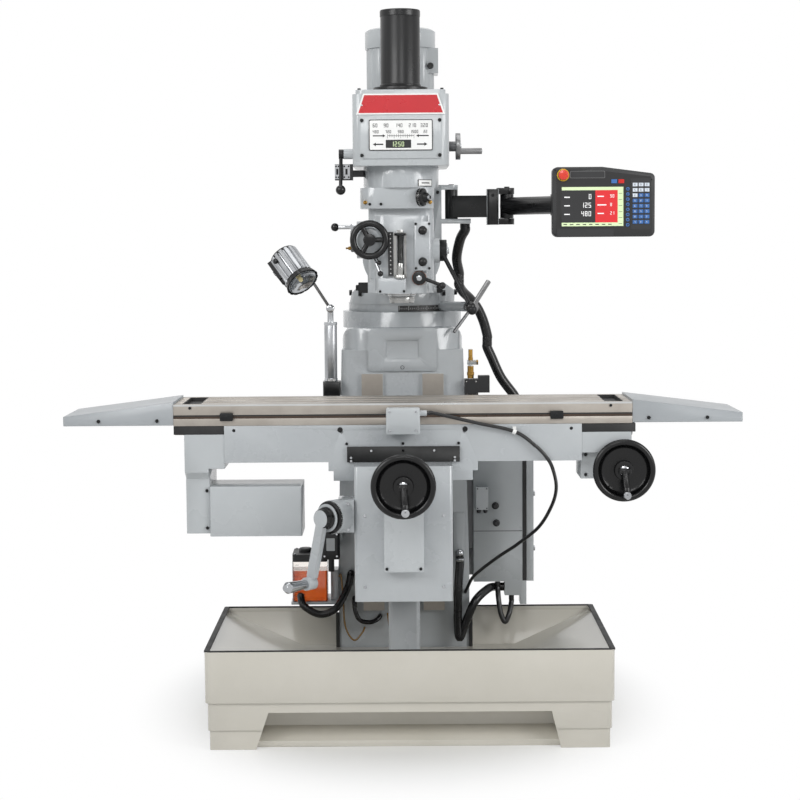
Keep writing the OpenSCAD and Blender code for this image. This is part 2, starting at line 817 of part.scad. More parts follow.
// Head: everything from here to the pendant is drawn round the spindle at the swivel's height
module on_head() translate([0, spindle_y, swivel_height]) children();

module head_adapter() color(cast_grey) {
  rod_x(-69.7, 69.7, nod_y, swivel_height, 55);
  rod_x(-100, 100, nod_y, swivel_height, 22);
  block(-60, 60, swivel_face + 10, nod_y, swivel_height - 50, swivel_height + 50);
  rod_y(swivel_face, swivel_face + 17, 0, swivel_height, 108);
}

module head_casting() color(cast_grey) on_head() difference() {
  union() {
    rod_y(88, spindle_gap_y(), 0, 0, 112);
    plan(-60, casting_top, rounded(-92, -60, 90, 96, 26));
    plan(casting_bottom, -50, rounded(-92, -60, 90, 80, 34));
    plan(casting_bottom, casting_top - 20, rounded(-74, head_front + 6, 74, 0, 30));
    rod_x(-125, -80, -10, 47, 52);
    rod_x(80, 106, -10, 16, 34);
    plan(casting_top, 190, rounded(-114, -92, 92, 92, 44));
    rod_z(190, housing_bottom, 0, 0, 105);
    plan(-38, 96, rounded(33, head_front - 12, 82, -40, 8));
    plan(-101, -59, rounded(-66, head_front - 14, 12, -60, 6));
    block(-121, -80, -50, 30, casting_bottom + 1, -73);
    rod_x(80, 112, -20, -93, 7);
    rod_y(head_front - 8, -40, -88, 47, 34);
    rod_y(head_front + 6, -40, 48, -59, 26);
  }
  rod_z(casting_bottom - tiny, 118, 0, 0, quill_radius + shaft_gap);
  rod_x(60, 110, -10, 16, 12 + shaft_gap);
  rod_y(head_front - 20, -50, -88, 47, 8 + shaft_gap);
  rod_y(-113, -50, 48, -59, 8 + shaft_gap);
}

function spindle_gap_y() = swivel_face - slide_gap - spindle_y;

module belt_housing() color(cast_grey) on_head() difference() {
  union() {
    plan(housing_bottom, housing_top - 12,
      arch(-housing_half, housing_front, housing_half, housing_back, 22, 110));
    plan(housing_top - 12, housing_top, arch(-housing_half + 9, housing_front + 9, housing_half - 9,
      housing_back - 9, 18, 104));
    front_shape(housing_front - 5, housing_front + 4, rounded(-112, 268, 112, 380, 5));
    rod_x(housing_half - 6, housing_half + 3, 30, 307, 34);
    rod_x(-housing_half - 26, -housing_half + 6, -60, 284, 14);
  }
  rod_x(90, housing_half + 10, 30, 307, 8 + shaft_gap);
  rod_x(-housing_half - 27, -90, -60, 284, 7 + shaft_gap);
}

module front_plates() {
  color(red) on_head() front_shape(housing_front - 4, housing_front, [
    [-121, 387],
    [121, 387],
    [102, 443],
    [-102, 443]]);
  color(white) on_head() front_shape(housing_front - 8, housing_front - 5, rounded(-87, 289, 87, 373, 8));
}

module motor() color(cast_grey) on_head() {
  rod_z(housing_top, housing_top + 22, 0, motor_y, motor_radius - 6);
  rod_z(housing_top + 22, housing_top + 136, 0, motor_y, motor_radius);
  rod_z(housing_top + 136, housing_top + 185, 0, motor_y, motor_radius + 6);
  rod_z(housing_top + 185, housing_top + 191, 0, motor_y, motor_radius - 4);
}

module drawbar_cover() color(black) on_head() {
  rod_z(housing_top, housing_top + 14, 0, 0, 76);
  rod_z(housing_top + 14, housing_top + 227, 0, 0, 55);
}

module head_fittings() color(silver) on_head() {
  block(-37, -24, head_front + 1, head_front + 6, -52, 68);
  rod_z(-59, 64, -4, head_front - 10, 6.5);
  rod_z(-46, -18, -4, head_front - 10, 9);
  rod_z(-59, -50, -4, head_front - 10, 15.5);
  block(-12, 4, head_front - 18, head_front + 6, 62, 74);
}

module head_switch() color(black) on_head() {
  block(-184, -housing_half - 2, -44, -8, 213, housing_bottom + 8);
  block(-housing_half - 3, -104, -40, -14, 222, 240);
  for (z = [72, -14]) {
    translate([58, head_front - 25, z]) sphere(r = 12);
    rod_y(head_front - 18, head_front - 12, 58, z, 5);
  }
}

module quill() color(ground_steel) on_head() difference() {
  rod_z(quill_bottom, 110, 0, 0, quill_radius);
  rod_z(quill_bottom - tiny, 111, 0, 0, 20 + shaft_gap);
}

module spindle() color(ground_steel) on_head() difference() {
  union() {
    rod_z(-130, quill_bottom - slide_gap, 0, 0, 35);
    rod_z(-125, 108, 0, 0, 20);
  }
  translate([0, 0, -131]) cylinder(h = 60, r1 = 16, r2 = 11);
  rod_z(-131, 109, 0, 0, 6);
}

// Head controls
module quill_lever() color(silver) on_head() {
  rod_x(64, 106.4, -10, 16, 12);
  rod_x(106.4, 126, -10, 16, 30);
  bar([116, -30, 4], [190, -92, -140], 6);
  translate([194, -95, -148]) sphere(r = 14);
}

module feed_wheel() color(black) on_head() translate([-88, head_front - 8.4, 47]) {
  rod_y(-4, 54, 0, 0, 8);
  rod_y(-22, 0, 0, 0, 17);
  rotate([90, 0, 0])
    rotate_extrude()
      translate([feed_wheel_diameter / 2 - 9, 14, 0])
        circle(r = 9);
  for (turn = [120, 240, 0])
    rotate([0, turn, 0])
      rod_x(10, feed_wheel_diameter / 2 - 10, -12, 0, 7);
}

module quill_lock() color(silver) on_head() {
  rod_y(-112, -52, 48, -59, 8);
  rod_y(-112, -91.4, 48, -59, 19);
  bar([60, -102, -60], [106, -108, -78], 5);
  translate([112, -109, -80]) sphere(r = 9);
}

module brake_lever() color(silver) on_head() {
  rod_x(-housing_half - 34, -96, -60, 284, 7);
  rod_x(-172, -housing_half - 26.4, -60, 284, 13);
  bar([-166, -62, 276], [-166, -112, 192], 5);
  translate([-166, -116, 184]) sphere(r = 13);
}

module range_lever() color(silver) on_head() {
  rod_y(-4, 24, -135.4, 83, 10);
  rod_x(-185, -138, 10, 83, 6);
  // The ball's seam faces away from the bar
  translate([-187, 10, 83]) rotate([0, 0, 180]) sphere(r = 11);
}

module speed_crank() color(silver) on_head() {
  rod_x(96, 160, 30, 307, 8);
  rod_x(housing_half + 3.4, 156, 30, 307, 14);
  rod_x(154, 167, 30, 307, 37);
  rod_x(166, 227, 12, 293, 8.5);
}

// Pendant and its arms
module pendant_arm_inner() color(black) difference() {
  union() {
    rod_z(arm_z - 35.7, arm_z + 49.7, shoulder_x, arm_y, 19);
    rod_z(arm_z - 48, arm_z + 66, shoulder_x, arm_y, 8);
    plan(arm_z - 32, arm_z + 32, rounded(shoulder_x, arm_y - 26, elbow_x - 40, arm_y + 26, 4));
    plan(arm_z - 54, arm_z + 50, rounded(elbow_x - 60, arm_y - 30, elbow_x - 26, arm_y + 30, 6));
    for (low = [arm_z - 54, arm_z + 36]) {
      rod_z(low, low + 18, elbow_x, arm_y, 22);
      block(elbow_x - 30, elbow_x, arm_y - 22, arm_y + 22, low, low + 18);
    }
  }
  rod_z(arm_z - 55, arm_z + 60, elbow_x, arm_y, 8 + shaft_gap);
  rod_z(arm_z - 35.7, arm_z + 35.7, elbow_x, arm_y, 27);
}

module pendant_arm_outer() color(black) difference() {
  union() {
    rod_z(arm_z - 35.4, arm_z + 35.4, elbow_x, arm_y, 20);
    rod_z(arm_z - 54, arm_z + 58, elbow_x, arm_y, 8);
    bar([elbow_x, arm_y, arm_z], [wrist_x, wrist_y, arm_z], 26);
    rod_z(arm_z - 30, arm_z + 30, wrist_x, wrist_y, 28);
  }
  rod_z(arm_z - 31, arm_z + 31, wrist_x, wrist_y, 8 + shaft_gap);
}

module pendant_box() color(black) difference() {
  pendant_body();
  rod_y(pendant_y - 27, pendant_y - 6, stop_x, stop_z, 7 + shaft_gap);
}

module pendant_body() {
  front_shape(pendant_y - 26, pendant_y + 26, concat(
    arc(pendant_x - pendant_half + 16, pendant_z - pendant_height / 2 + 16, 16, 180, 270),
    arc(pendant_x + pendant_half - 16, pendant_z - pendant_height / 2 + 16, 16, 270, 360),
    arc(pendant_x + pendant_half - 14, pendant_z + pendant_height / 2 - 32, 14, 0, 80),
    [[pendant_x - 5, pendant_z + pendant_height / 2]],
    arc(pendant_x - pendant_half + 14, pendant_z + pendant_height / 2 - 14, 14, 90, 180)));
  rod_z(arm_z - 44, arm_z + 44, wrist_x, wrist_y, 8);
  for (low = [arm_z - 44, arm_z + 30.4]) {
    rod_z(low, low + 13.6, wrist_x, wrist_y, 20);
    block(wrist_x - 18, wrist_x + 18, pendant_y + 25, wrist_y, low, low + 13.6);
  }
}

module stop_button() color(red) {
  rod_y(pendant_y - 46, pendant_y - 34, stop_x, stop_z, 14);
  rod_y(pendant_y - 35, pendant_y - 14, stop_x, stop_z, 7);
}

// Work lamp
module lamp_base() color(black) {
  plan(953, 996, rounded(lamp_x - 24, lamp_y - 24, -column_side(953) - slide_gap, lamp_y + 44, 8));
}

module lamp_lower() color(silver) {
  rod_z(996.3, 1175, lamp_x, lamp_y, 19);
  rod_z(1174, lamp_elbow_z, lamp_x, lamp_y, 9);
  rod_y(lamp_y - 12, lamp_y + 4, lamp_x, lamp_elbow_z + 8, 12);
}

module lamp_upper() color(silver) {
  rod_y(lamp_y - 22, lamp_y - 12.4, lamp_x, lamp_elbow_z + 8, 12);
  bar([lamp_x, lamp_y - 18, lamp_elbow_z + 8], lamp_tip, 4.5);
  translate(lamp_tip) rotate([0, 0, 180]) sphere(r = 9);
}

module lamp_head() color(silver) difference() {
  union() {
    aim(lamp_center - lamp_axis * 58, lamp_axis) {
      cylinder(h = 104, r = 46);
      translate([0, 0, 100]) cylinder(h = 16, r1 = 48, r2 = 52);
    }
  }
  aim(lamp_center, lamp_axis) translate([0, 0, 30]) cylinder(h = 40, r1 = 28, r2 = 47);
}

// Cords, hoses and pipes
conduit_upper_route = [
  [190, -116, 1467.6],
  [190, -116, 1458],
  [190, -116, 1448],
  [176, -104, 1420],
  [166, -76, 1366],
  [174, -40, 1322],
  [174, -40, 1311],
  [174, -40, 1300.6]];

conduit_middle_route = [
  [174, -40, 1300],
  [174, -40, 1291],
  [174, -40, 1282],
  [186, -14, 1262],
  [210, 14, 1238],
  [232, 22, 1210],
  [250, 27, 1170],
  [262, 30, 1126],
  [262, 30, 1116],
  [262, 30, 1107]];

conduit_lower_route = [
  [262, 30, 1106.4],
  [262, 30, 1097],
  [262, 30, 1088],
  [276, 30, 1056],
  [304, 30, 995],
  [344, 30, 940],
  [350, 30, 920],
  [350, 30, 910],
  [350, 30, 900.5]];

cabinet_loop_route = [
  [288, -51, 372.5],
  [288, -51, 362],
  [288, -51, 351],
  [290, -68, 318],
  [296, -77, 278],
  [309, -79, 252],
  [322, -72, 276],
  [330, -51, 308],
  [330, -51, 319],
  [330, -51, 329.5]];

bundle_route = [
  [170, -112, 460.5],
  [170, -112, 448],
  [170, -112, 436],
  [165, -118, 360],
  [163, -119, 270],
  [168, -118, 212],
  [184, -116, 250],
  [216, -112, 322],
  [256, -70, 352],
  [280, -30, 352],
  [294, -30, 352],
  [308.6, -30, 352]];

left_hose_route = [
  [-312, -140.6, 348],
  [-312, -148, 348],
  [-312, -156, 348],
  [-300, -174, 322],
  [-252, -174, 298],
  [-204, -164, 316],
  [-172, -122, 368],
  [-162, -104, 406],
  [-162, -92, 406],
  [-162, -80.6, 406]];

small_hose_route = [
  [-152, -80.6, 330],
  [-152, -90, 330],
  [-152, -99, 330],
  [-150, -112, 300],
  [-136, -113, 268],
  [-106, -112, 260],
  [-84, -106, 266],
  [-74, -98, 275],
  [-74, -89, 275],
  [-74, -80.6, 275]];

saddle_cable_route = [
  [66.4, -614, 946],
  [76, -614, 946],
  [86, -614, 946],
  [200, -608, 918],
  [308, -602, 892],
  [366, -603, 852],
  [398, -602, 818],
  [416, -586, 782],
  [430, -520, 722],
  [420, -460, 660],
  [388, -380, 588],
  [327, -300, 523]];

knee_cable_route = [
  [326.6, -299.5, 522.6],
  [270, -224, 470],
  [212, -160, 410],
  [192, -116, 364],
  [188, -98, 349],
  [188, -89, 349],
  [188, -80.6, 349]];

left_pipe_route = [
  [-200, -92, 400],
  [-196, -92, 400],
  [-192, -92, 400],
  [-186, -108, 340],
  [-180, -114, 250],
  [-154, -116, 206],
  [-130, -112, 226],
  [-122, -98, 238],
  [-122, -89, 238],
  [-122, -80.6, 238]];

right_pipe_route = [
  [-50, -80.6, 280],
  [-50, -89, 280],
  [-50, -98, 280],
  [-44, -112, 244],
  [-30, -114, 234],
  [2, -113, 246],
  [26, -98, 280],
  [26, -89, 280],
  [26, -80.6, 280]];

module conduit_upper() color(black) cord(conduit_upper_route, 15, 3);

module conduit_middle() color(black) cord(conduit_middle_route, 15, 3);

module base_hoses() color(black) {
  cord(conduit_lower_route, 15, 3);
  cord(cabinet_loop_route, 8, 4);
  cord(bundle_route, 13, 4);
  cord(left_hose_route, 11, 4);
  cord(small_hose_route, 7, 4);
  cord(knee_cable_route, 5, 4);
}

module oil_pipes() color(brown) {
  cord(left_pipe_route, 3, 4);
  cord(right_pipe_route, 3, 4);
}

module saddle_cable() color(black) cord(saddle_cable_route, 5, 4);

tray();
tray_trim();
column();
screw_pedestal();
cabinet();
cabinet_door();
reservoir();
service_fittings();
limit_switch();
knee();
knee_cover();
crank_housing();
knee_crank();
knee_crank_grip();
knee_screw();
y_handwheel();
y_handle();
saddle();
saddle_wiper();
limit_box();
x_drive_cover();
x_motor();
x_drive_block();
x_handwheel();
x_handle();
table();
end_guards();
trip_dogs();
turret();
ram_handle();
ram();
head_adapter();
head_casting();
belt_housing();
front_plates();
motor();
drawbar_cover();
head_fittings();
head_switch();
quill();
spindle();
quill_lever();
feed_wheel();
quill_lock();
brake_lever();
range_lever();
speed_crank();
pendant_arm_inner();
pendant_arm_outer();
pendant_box();
stop_button();
lamp_base();
lamp_lower();
lamp_upper();
lamp_head();
conduit_upper();
conduit_middle();
base_hoses();
oil_pipes();
saddle_cable();
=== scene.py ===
"""Looks of the turret milling machine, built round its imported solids.

All shapes are drawn in millimetres in the machine's own frame: +X right, +Y towards the
column, +Z up, origin on the floor between the anchor bolts.
"""

import logging
import math
from dataclasses import dataclass, field
from enum import Enum
from typing import Callable, ClassVar, Iterable, Optional, Sequence

import bmesh
import bpy
from mathutils import Matrix, Vector

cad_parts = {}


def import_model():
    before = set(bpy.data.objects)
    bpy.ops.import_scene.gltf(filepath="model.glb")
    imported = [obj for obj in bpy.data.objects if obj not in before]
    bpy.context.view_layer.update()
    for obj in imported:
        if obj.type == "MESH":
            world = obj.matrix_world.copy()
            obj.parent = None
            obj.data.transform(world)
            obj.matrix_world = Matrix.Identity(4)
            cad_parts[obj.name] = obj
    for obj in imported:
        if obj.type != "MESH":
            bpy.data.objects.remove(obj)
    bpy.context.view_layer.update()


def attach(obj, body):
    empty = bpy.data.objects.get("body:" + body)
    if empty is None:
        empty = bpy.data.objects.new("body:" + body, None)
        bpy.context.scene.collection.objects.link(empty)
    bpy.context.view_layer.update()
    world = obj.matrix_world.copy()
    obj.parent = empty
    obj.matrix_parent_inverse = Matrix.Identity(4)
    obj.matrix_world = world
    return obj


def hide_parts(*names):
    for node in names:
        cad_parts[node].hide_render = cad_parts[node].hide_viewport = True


LOG = logging.getLogger("milling_machine")
MM = 0.001

Point = tuple[float, float, float]
Span = tuple[float, float]
Outline = list[Span]
Spots = tuple[Span, ...]

RIGHT: Point = (1.0, 0.0, 0.0)
LEFT: Point = (-1.0, 0.0, 0.0)
TO_FRONT: Point = (0.0, -1.0, 0.0)
TO_BACK: Point = (0.0, 1.0, 0.0)
UP: Point = (0.0, 0.0, 1.0)
DOWN: Point = (0.0, 0.0, -1.0)
BOTH_SIDES = (-1, 1)

# A line that looks for a solid's front starts here, ahead of the whole machine.
FAR_AHEAD = -1500.0
# Corners of a solid that lie closer than this are one corner.
WELD_MM = 0.02
# Stretches across a rounded edge.
ROUNDING_STEPS = 2
# Edges of a new form that turn by more than this, in radians, are rounded.
SHARP_TURN = 0.6
# Raised figures stand this far proud of a surface and reach this far into it.
PROUD, SUNK = 0.3, 0.2
# A long mark on a dial, as a multiple of a short one.
LONG_MARK = 1.8


# --- Colour and material nodes -------------------------------------------------------


def linear(code: str, alpha: float = 1.0) -> tuple[float, float, float, float]:
    """Turns an sRGB hex colour into linear values.

    Args:
        code: Six hex digits with a leading hash sign.
        alpha: Opacity to append.

    Returns:
        Linear red, green and blue, and the opacity.
    """
    parts = [int(code[i : i + 2], 16) / 255 for i in (1, 3, 5)]
    r, g, b = (c / 12.92 if c <= 0.04045 else ((c + 0.055) / 1.055) ** 2.4 for c in parts)
    return (r, g, b, alpha)


def add_node(
    tree: bpy.types.NodeTree,
    kind: str,
    inputs: Optional[dict[str | int, object]] = None,
    **settings: object,
) -> bpy.types.Node:
    """Adds a node with its settings, values and incoming links.

    Args:
        tree: Node tree that takes the node.
        kind: The node's type name.
        inputs: Value or output socket for each input, by name or index.
        settings: Attributes of the node.

    Returns:
        The new node.
    """
    node = tree.nodes.new(kind)
    for name, value in settings.items():
        setattr(node, name, value)
    for name, value in (inputs or {}).items():
        if isinstance(value, bpy.types.NodeSocket):
            tree.links.new(value, node.inputs[name])
        else:
            node.inputs[name].default_value = value
    return node


class Grain(Enum):
    """How a surface was made, which decides its fine relief."""

    SPRAYED = "sprayed"
    TURNED = "turned"
    MOULDED = "moulded"
    GROUND = "ground"


@dataclass(frozen=True)
class Finish:
    """A material: what it is, how it was made, and what that gives the eye.

    The colour wanders to the shade in patches patch_mm wide. The grain is grain_mm apart and
    relief_mm deep. Machining lines are finer in truth, and are drawn a millimetre or more
    apart because they wouldn't show otherwise.
    """

    name: str
    colour: str
    shade: str
    grain: Grain
    roughness: Span
    metallic: float = 0.0
    patch_mm: float = 120.0
    grain_mm: float = 4.0
    relief_mm: float = 0.05
    coat: float = 0.0
    ior: Optional[float] = None
    transmission: float = 0.0
    glow: float = 0.0
    grime: float = 0.0
    made: ClassVar[dict[str, bpy.types.Material]] = {}

    STRETCH: ClassVar[dict[Grain, Point]] = {
        Grain.SPRAYED: (1, 1, 1),
        Grain.TURNED: (0.15, 0.15, 1),
        Grain.MOULDED: (1, 1, 1),
        Grain.GROUND: (0.04, 1, 1),
    }
    # Nearly all of the noise lies between these two.
    TONE_SPAN: ClassVar[Span] = (0.3, 0.7)
    SHEEN_SPAN: ClassVar[Span] = (0.25, 0.75)
    # Share of the shade in the streaks of a machined surface.
    STREAKS: ClassVar[float] = 0.35
    COAT_ROUGHNESS: ClassVar[float] = 0.12
    # Dust with oil: its colour, and the speckles in a metre.
    GRIME: ClassVar[str] = "#4A463F"
    SPECKS: ClassVar[float] = 28.0
    SPECK_SPAN: ClassVar[Span] = (0.52, 0.8)

    def material(self) -> bpy.types.Material:
        """Makes the material once.

        Returns:
            The material.
        """
        if self.name not in Finish.made:
            Finish.made[self.name] = self._make()
        return Finish.made[self.name]

    def _make(self) -> bpy.types.Material:
        """Builds the node tree: tone patches, roughness patches and fine relief.

        Returns:
            The new material.
        """
        material = bpy.data.materials.new(self.name)
        material.use_nodes = True
        tree = material.node_tree
        tree.nodes.clear()
        place = add_node(tree, "ShaderNodeTexCoord").outputs["Object"]
        patches = add_node(
            tree,
            "ShaderNodeTexNoise",
            {"Vector": place, "Scale": 1000 / self.patch_mm, "Detail": 5.0, "Roughness": 0.6},
        ).outputs["Fac"]
        stretched = add_node(
            tree, "ShaderNodeMapping", {"Vector": place, "Scale": self.STRETCH[self.grain]}
        ).outputs["Vector"]
        relief = add_node(
            tree,
            "ShaderNodeTexNoise",
            {
                "Vector": stretched,
                "Scale": 1000 / self.grain_mm,
                "Detail": 3.0,
                "Roughness": 0.55,
            },
        ).outputs["Fac"]
        spread = add_node(
            tree,
            "ShaderNodeMapRange",
            {"Value": patches, "From Min": self.TONE_SPAN[0], "From Max": self.TONE_SPAN[1]},
        ).outputs["Result"]
        tone = add_node(
            tree,
            "ShaderNodeMix",
            {0: spread, 6: linear(self.colour), 7: linear(self.shade)},
            data_type="RGBA",
        ).outputs[2]
        if self.metallic > 0.5:
            streak = add_node(
                tree,
                "ShaderNodeMapRange",
                {"Value": relief, "To Min": 0.0, "To Max": self.STREAKS},
            ).outputs["Result"]
            tone = add_node(
                tree,
                "ShaderNodeMix",
                {0: streak, 6: tone, 7: linear(self.shade)},
                data_type="RGBA",
            ).outputs[2]
        if self.grime > 0:
            tone = self._grime(tree, place, tone)
        sheen_range = add_node(
            tree,
            "ShaderNodeMapRange",
            {
                "Value": patches,
                "From Min": self.SHEEN_SPAN[0],
                "From Max": self.SHEEN_SPAN[1],
                "To Min": self.roughness[0],
                "To Max": self.roughness[1],
            },
        ).outputs["Result"]
        bump = add_node(
            tree,
            "ShaderNodeBump",
            {"Height": relief, "Distance": self.relief_mm * MM, "Strength": 1.0},
        ).outputs["Normal"]
        values: dict[str | int, object] = {
            "Base Color": tone,
            "Roughness": sheen_range,
            "Normal": bump,
            "Metallic": self.metallic,
            "Coat Weight": self.coat,
            "Coat Roughness": self.COAT_ROUGHNESS,
            "Transmission Weight": self.transmission,
        }
        if self.ior is not None:
            values["IOR"] = self.ior
        if self.glow > 0:
            values["Emission Color"] = linear(self.colour)
            values["Emission Strength"] = self.glow
        shader = add_node(tree, "ShaderNodeBsdfPrincipled", values)
        add_node(tree, "ShaderNodeOutputMaterial", {"Surface": shader.outputs["BSDF"]})
        return material

    def _grime(
        self, tree: bpy.types.NodeTree, place: bpy.types.NodeSocket, tone: bpy.types.NodeSocket
    ) -> bpy.types.NodeSocket:
        """Darkens the colour in thin speckles, as dust and oil do on a shop machine.

        Args:
            tree: Node tree of the material.
            place: Coordinates socket.
            tone: Colour so far.

        Returns:
            The darkened colour's socket.
        """
        specks = add_node(
            tree,
            "ShaderNodeTexNoise",
            {"Vector": place, "Scale": self.SPECKS, "Detail": 8.0, "Roughness": 0.75},
        ).outputs["Fac"]
        mask = add_node(
            tree,
            "ShaderNodeMapRange",
            {
                "Value": specks,
                "From Min": self.SPECK_SPAN[0],
                "From Max": self.SPECK_SPAN[1],
                "To Min": 0.0,
                "To Max": self.grime,
            },
        ).outputs["Result"]
        return add_node(
            tree,
            "ShaderNodeMix",
            {0: mask, 6: tone, 7: linear(self.GRIME)},
            data_type="RGBA",
        ).outputs[2]


# Two-pack enamel sprayed on iron: semi-gloss with a slow ripple over the sand-cast skin.
CAST_ENAMEL = Finish("enamel_on_cast_iron", "#B0B4B6", "#A8ACAF", Grain.SPRAYED, (0.2, 0.32),
                     patch_mm=160, grain_mm=11, relief_mm=0.2, coat=0.5, ior=1.52, grime=0.05)
# The same enamel on folded sheet: smoother and a little paler.
SHEET_ENAMEL = Finish("enamel_on_sheet_steel", "#B5B9BB", "#AEB2B4", Grain.SPRAYED, (0.24, 0.34),
                      patch_mm=260, grain_mm=6, relief_mm=0.05, coat=0.35, ior=1.5)
# Enamel of the end guards, painted a shade deeper and a little duller than the saddle's: painted
# shade that holds back the top light on their sloped faces.
SHADED_GUARD_ENAMEL = Finish("end_guard_enamel_painted_shade", "#9FA3A6", "#999DA0", Grain.SPRAYED, (0.28, 0.38))
# Gloss enamel on the drip tray: warm, wet-looking highlights.
TRAY_ENAMEL = Finish("gloss_enamel_on_tray", "#C9C5BB", "#C2BEB3", Grain.SPRAYED, (0.14, 0.26),
                     patch_mm=300, grain_mm=14, relief_mm=0.12, coat=0.5, ior=1.5, grime=0.03)
# Surface-ground iron with an oil film: fine lines along the table.
GROUND_IRON = Finish("ground_cast_iron", "#B4AEA6", "#968F87", Grain.GROUND, (0.3, 0.46),
                     metallic=0.7, patch_mm=140, grain_mm=1.6, relief_mm=0.012)
# Painted highlight along the top's front lip: paler and smoother than the faces round it.
PAINTED_HIGHLIGHT_IRON = Finish("ground_iron_painted_highlight", "#D2D4D4", "#BCBDBC", Grain.GROUND, (0.24, 0.36),
                       metallic=0.8, grain_mm=1.2, patch_mm=160)
# Painted shade and a painted reflection in the stop groove: dark brown and glossy.
GROOVE_SHADE_IRON = Finish("painted_groove_shade", "#4C3D33", "#3A2F28", Grain.SPRAYED, (0.2, 0.34),
                    metallic=0.5)
# Lathe-turned steel: bright, with rings round the axis.
TURNED_STEEL = Finish("turned_steel", "#B2B2B0", "#8A8A88", Grain.TURNED, (0.16, 0.3),
                      metallic=1.0, patch_mm=40, grain_mm=1.2, relief_mm=0.015)
# Polished plate: hard highlights.
CHROMED_STEEL = Finish("chromed_steel", "#C4C6C8", "#A2A4A7", Grain.SPRAYED, (0.06, 0.14),
                       metallic=1.0, patch_mm=60, grain_mm=6, relief_mm=0.01)
# Lathe-spun aluminium of the lamp: silver with a broad, soft highlight.
SPUN_ALUMINIUM = Finish("spun_aluminium", "#B9BBBD", "#96989B", Grain.SPRAYED, (0.26, 0.36),
                        metallic=0.9, patch_mm=60, grain_mm=3.0, relief_mm=0.006)
# Turned brass and the pressed copper ring: warm metal that has dulled a little.
BRASS = Finish("turned_brass", "#B8924E", "#8E6C35", Grain.TURNED, (0.2, 0.35),
               metallic=1.0, patch_mm=30, grain_mm=1.0, relief_mm=0.015)
COPPER = Finish("copper_ring", "#B06A45", "#8C4E30", Grain.TURNED, (0.2, 0.35), metallic=1.0,
                patch_mm=30, grain_mm=1.0, relief_mm=0.01)
# Stove enamel on small steel parts: black with a soft shine.
BLACK_ENAMEL = Finish("black_enamel_on_steel", "#141516", "#0E0E0F", Grain.SPRAYED, (0.24, 0.4),
                      patch_mm=70, grain_mm=3, relief_mm=0.03, ior=1.4)
# Satin steel of the lock levers: greyer than chrome.
SATIN_STEEL = Finish("satin_steel", "#8C8C8C", "#6F6F70", Grain.SPRAYED, (0.28, 0.4),
                     metallic=0.95, patch_mm=50, grain_mm=2, relief_mm=0.01)
# Blacked screws and bolts: dull dark grey with a trace of metal.
BLACK_OXIDE = Finish("black_oxide_screws", "#232425", "#161617", Grain.SPRAYED, (0.32, 0.5),
                     metallic=0.6, patch_mm=20, grain_mm=1, relief_mm=0.02)
# Compression-moulded phenolic of the handwheels: deep black with a soft shine.
PHENOLIC = Finish("moulded_phenolic", "#0C0C0D", "#080809", Grain.MOULDED, (0.2, 0.3),
                  patch_mm=60, grain_mm=4, relief_mm=0.02, ior=1.4)
# Textured ABS of the pendant and switch boxes: fine spark-eroded pebble.
TEXTURED_ABS = Finish("textured_abs", "#17181A", "#111214", Grain.MOULDED, (0.42, 0.58),
                      patch_mm=90, grain_mm=1.6, relief_mm=0.05, ior=1.53)
# Nitrile trim, wipers and seals: dull black.
NITRILE = Finish("nitrile_rubber", "#1B1B1B", "#141414", Grain.MOULDED, (0.55, 0.75),
                 patch_mm=60, grain_mm=3, relief_mm=0.05, ior=1.52)
# Extruded hose: a smooth wet-looking black.
GLOSS_HOSE = Finish("extruded_hose", "#151516", "#0F0F10", Grain.MOULDED, (0.2, 0.32),
                    patch_mm=50, grain_mm=5, relief_mm=0.05, ior=1.42)
# PVC sheath of the cables: black, duller than the hoses.
PVC_SHEATH = Finish("pvc_cable_sheath", "#161617", "#101011", Grain.MOULDED, (0.24, 0.36),
                    patch_mm=40, grain_mm=3, relief_mm=0.04, ior=1.53)
# Oil shows through the nylon pipes: amber.
NYLON_PIPE = Finish("amber_nylon_pipe", "#8A6A36", "#6E5127", Grain.MOULDED, (0.2, 0.32),
                    patch_mm=30, grain_mm=4, relief_mm=0.01, coat=0.2, ior=1.53)
# Screen-printed sheet: even colour with a faint shine.
SIGN_RED = Finish("screen_printed_red", "#C11F28", "#B71B24", Grain.SPRAYED, (0.24, 0.32),
                  patch_mm=120, grain_mm=3, relief_mm=0.01, coat=0.3, ior=1.5)
SIGN_WHITE = Finish("screen_printed_white", "#EFEFED", "#E4E4E2", Grain.SPRAYED, (0.26, 0.36),
                    patch_mm=120, grain_mm=3, relief_mm=0.01, ior=1.5)
INK_BLACK = Finish("screen_printed_black", "#1A1A1B", "#131314", Grain.SPRAYED, (0.3, 0.4),
                   patch_mm=50, grain_mm=3, relief_mm=0.01, ior=1.5)
# Clear acrylic with orange oil behind it, seen through and with sharp highlights.
CLEAR_TANK = Finish("clear_acrylic_tank", "#FAF6F2", "#F4ECE4", Grain.MOULDED, (0.04, 0.1),
                    patch_mm=80, grain_mm=20, relief_mm=0.02, ior=1.49, transmission=1.0)
SLIDEWAY_OIL = Finish("slideway_oil", "#E8742A", "#C8401A", Grain.MOULDED, (0.04, 0.1),
                      patch_mm=60, grain_mm=20, relief_mm=0.02, ior=1.47, transmission=0.75)
# The bulb's capsule: pale yellow with a faint glow.
LAMP_BULB = Finish("halogen_bulb", "#E9DDB0", "#D8C687", Grain.MOULDED, (0.1, 0.2),
                   patch_mm=10, grain_mm=4, relief_mm=0.02, glow=0.15)
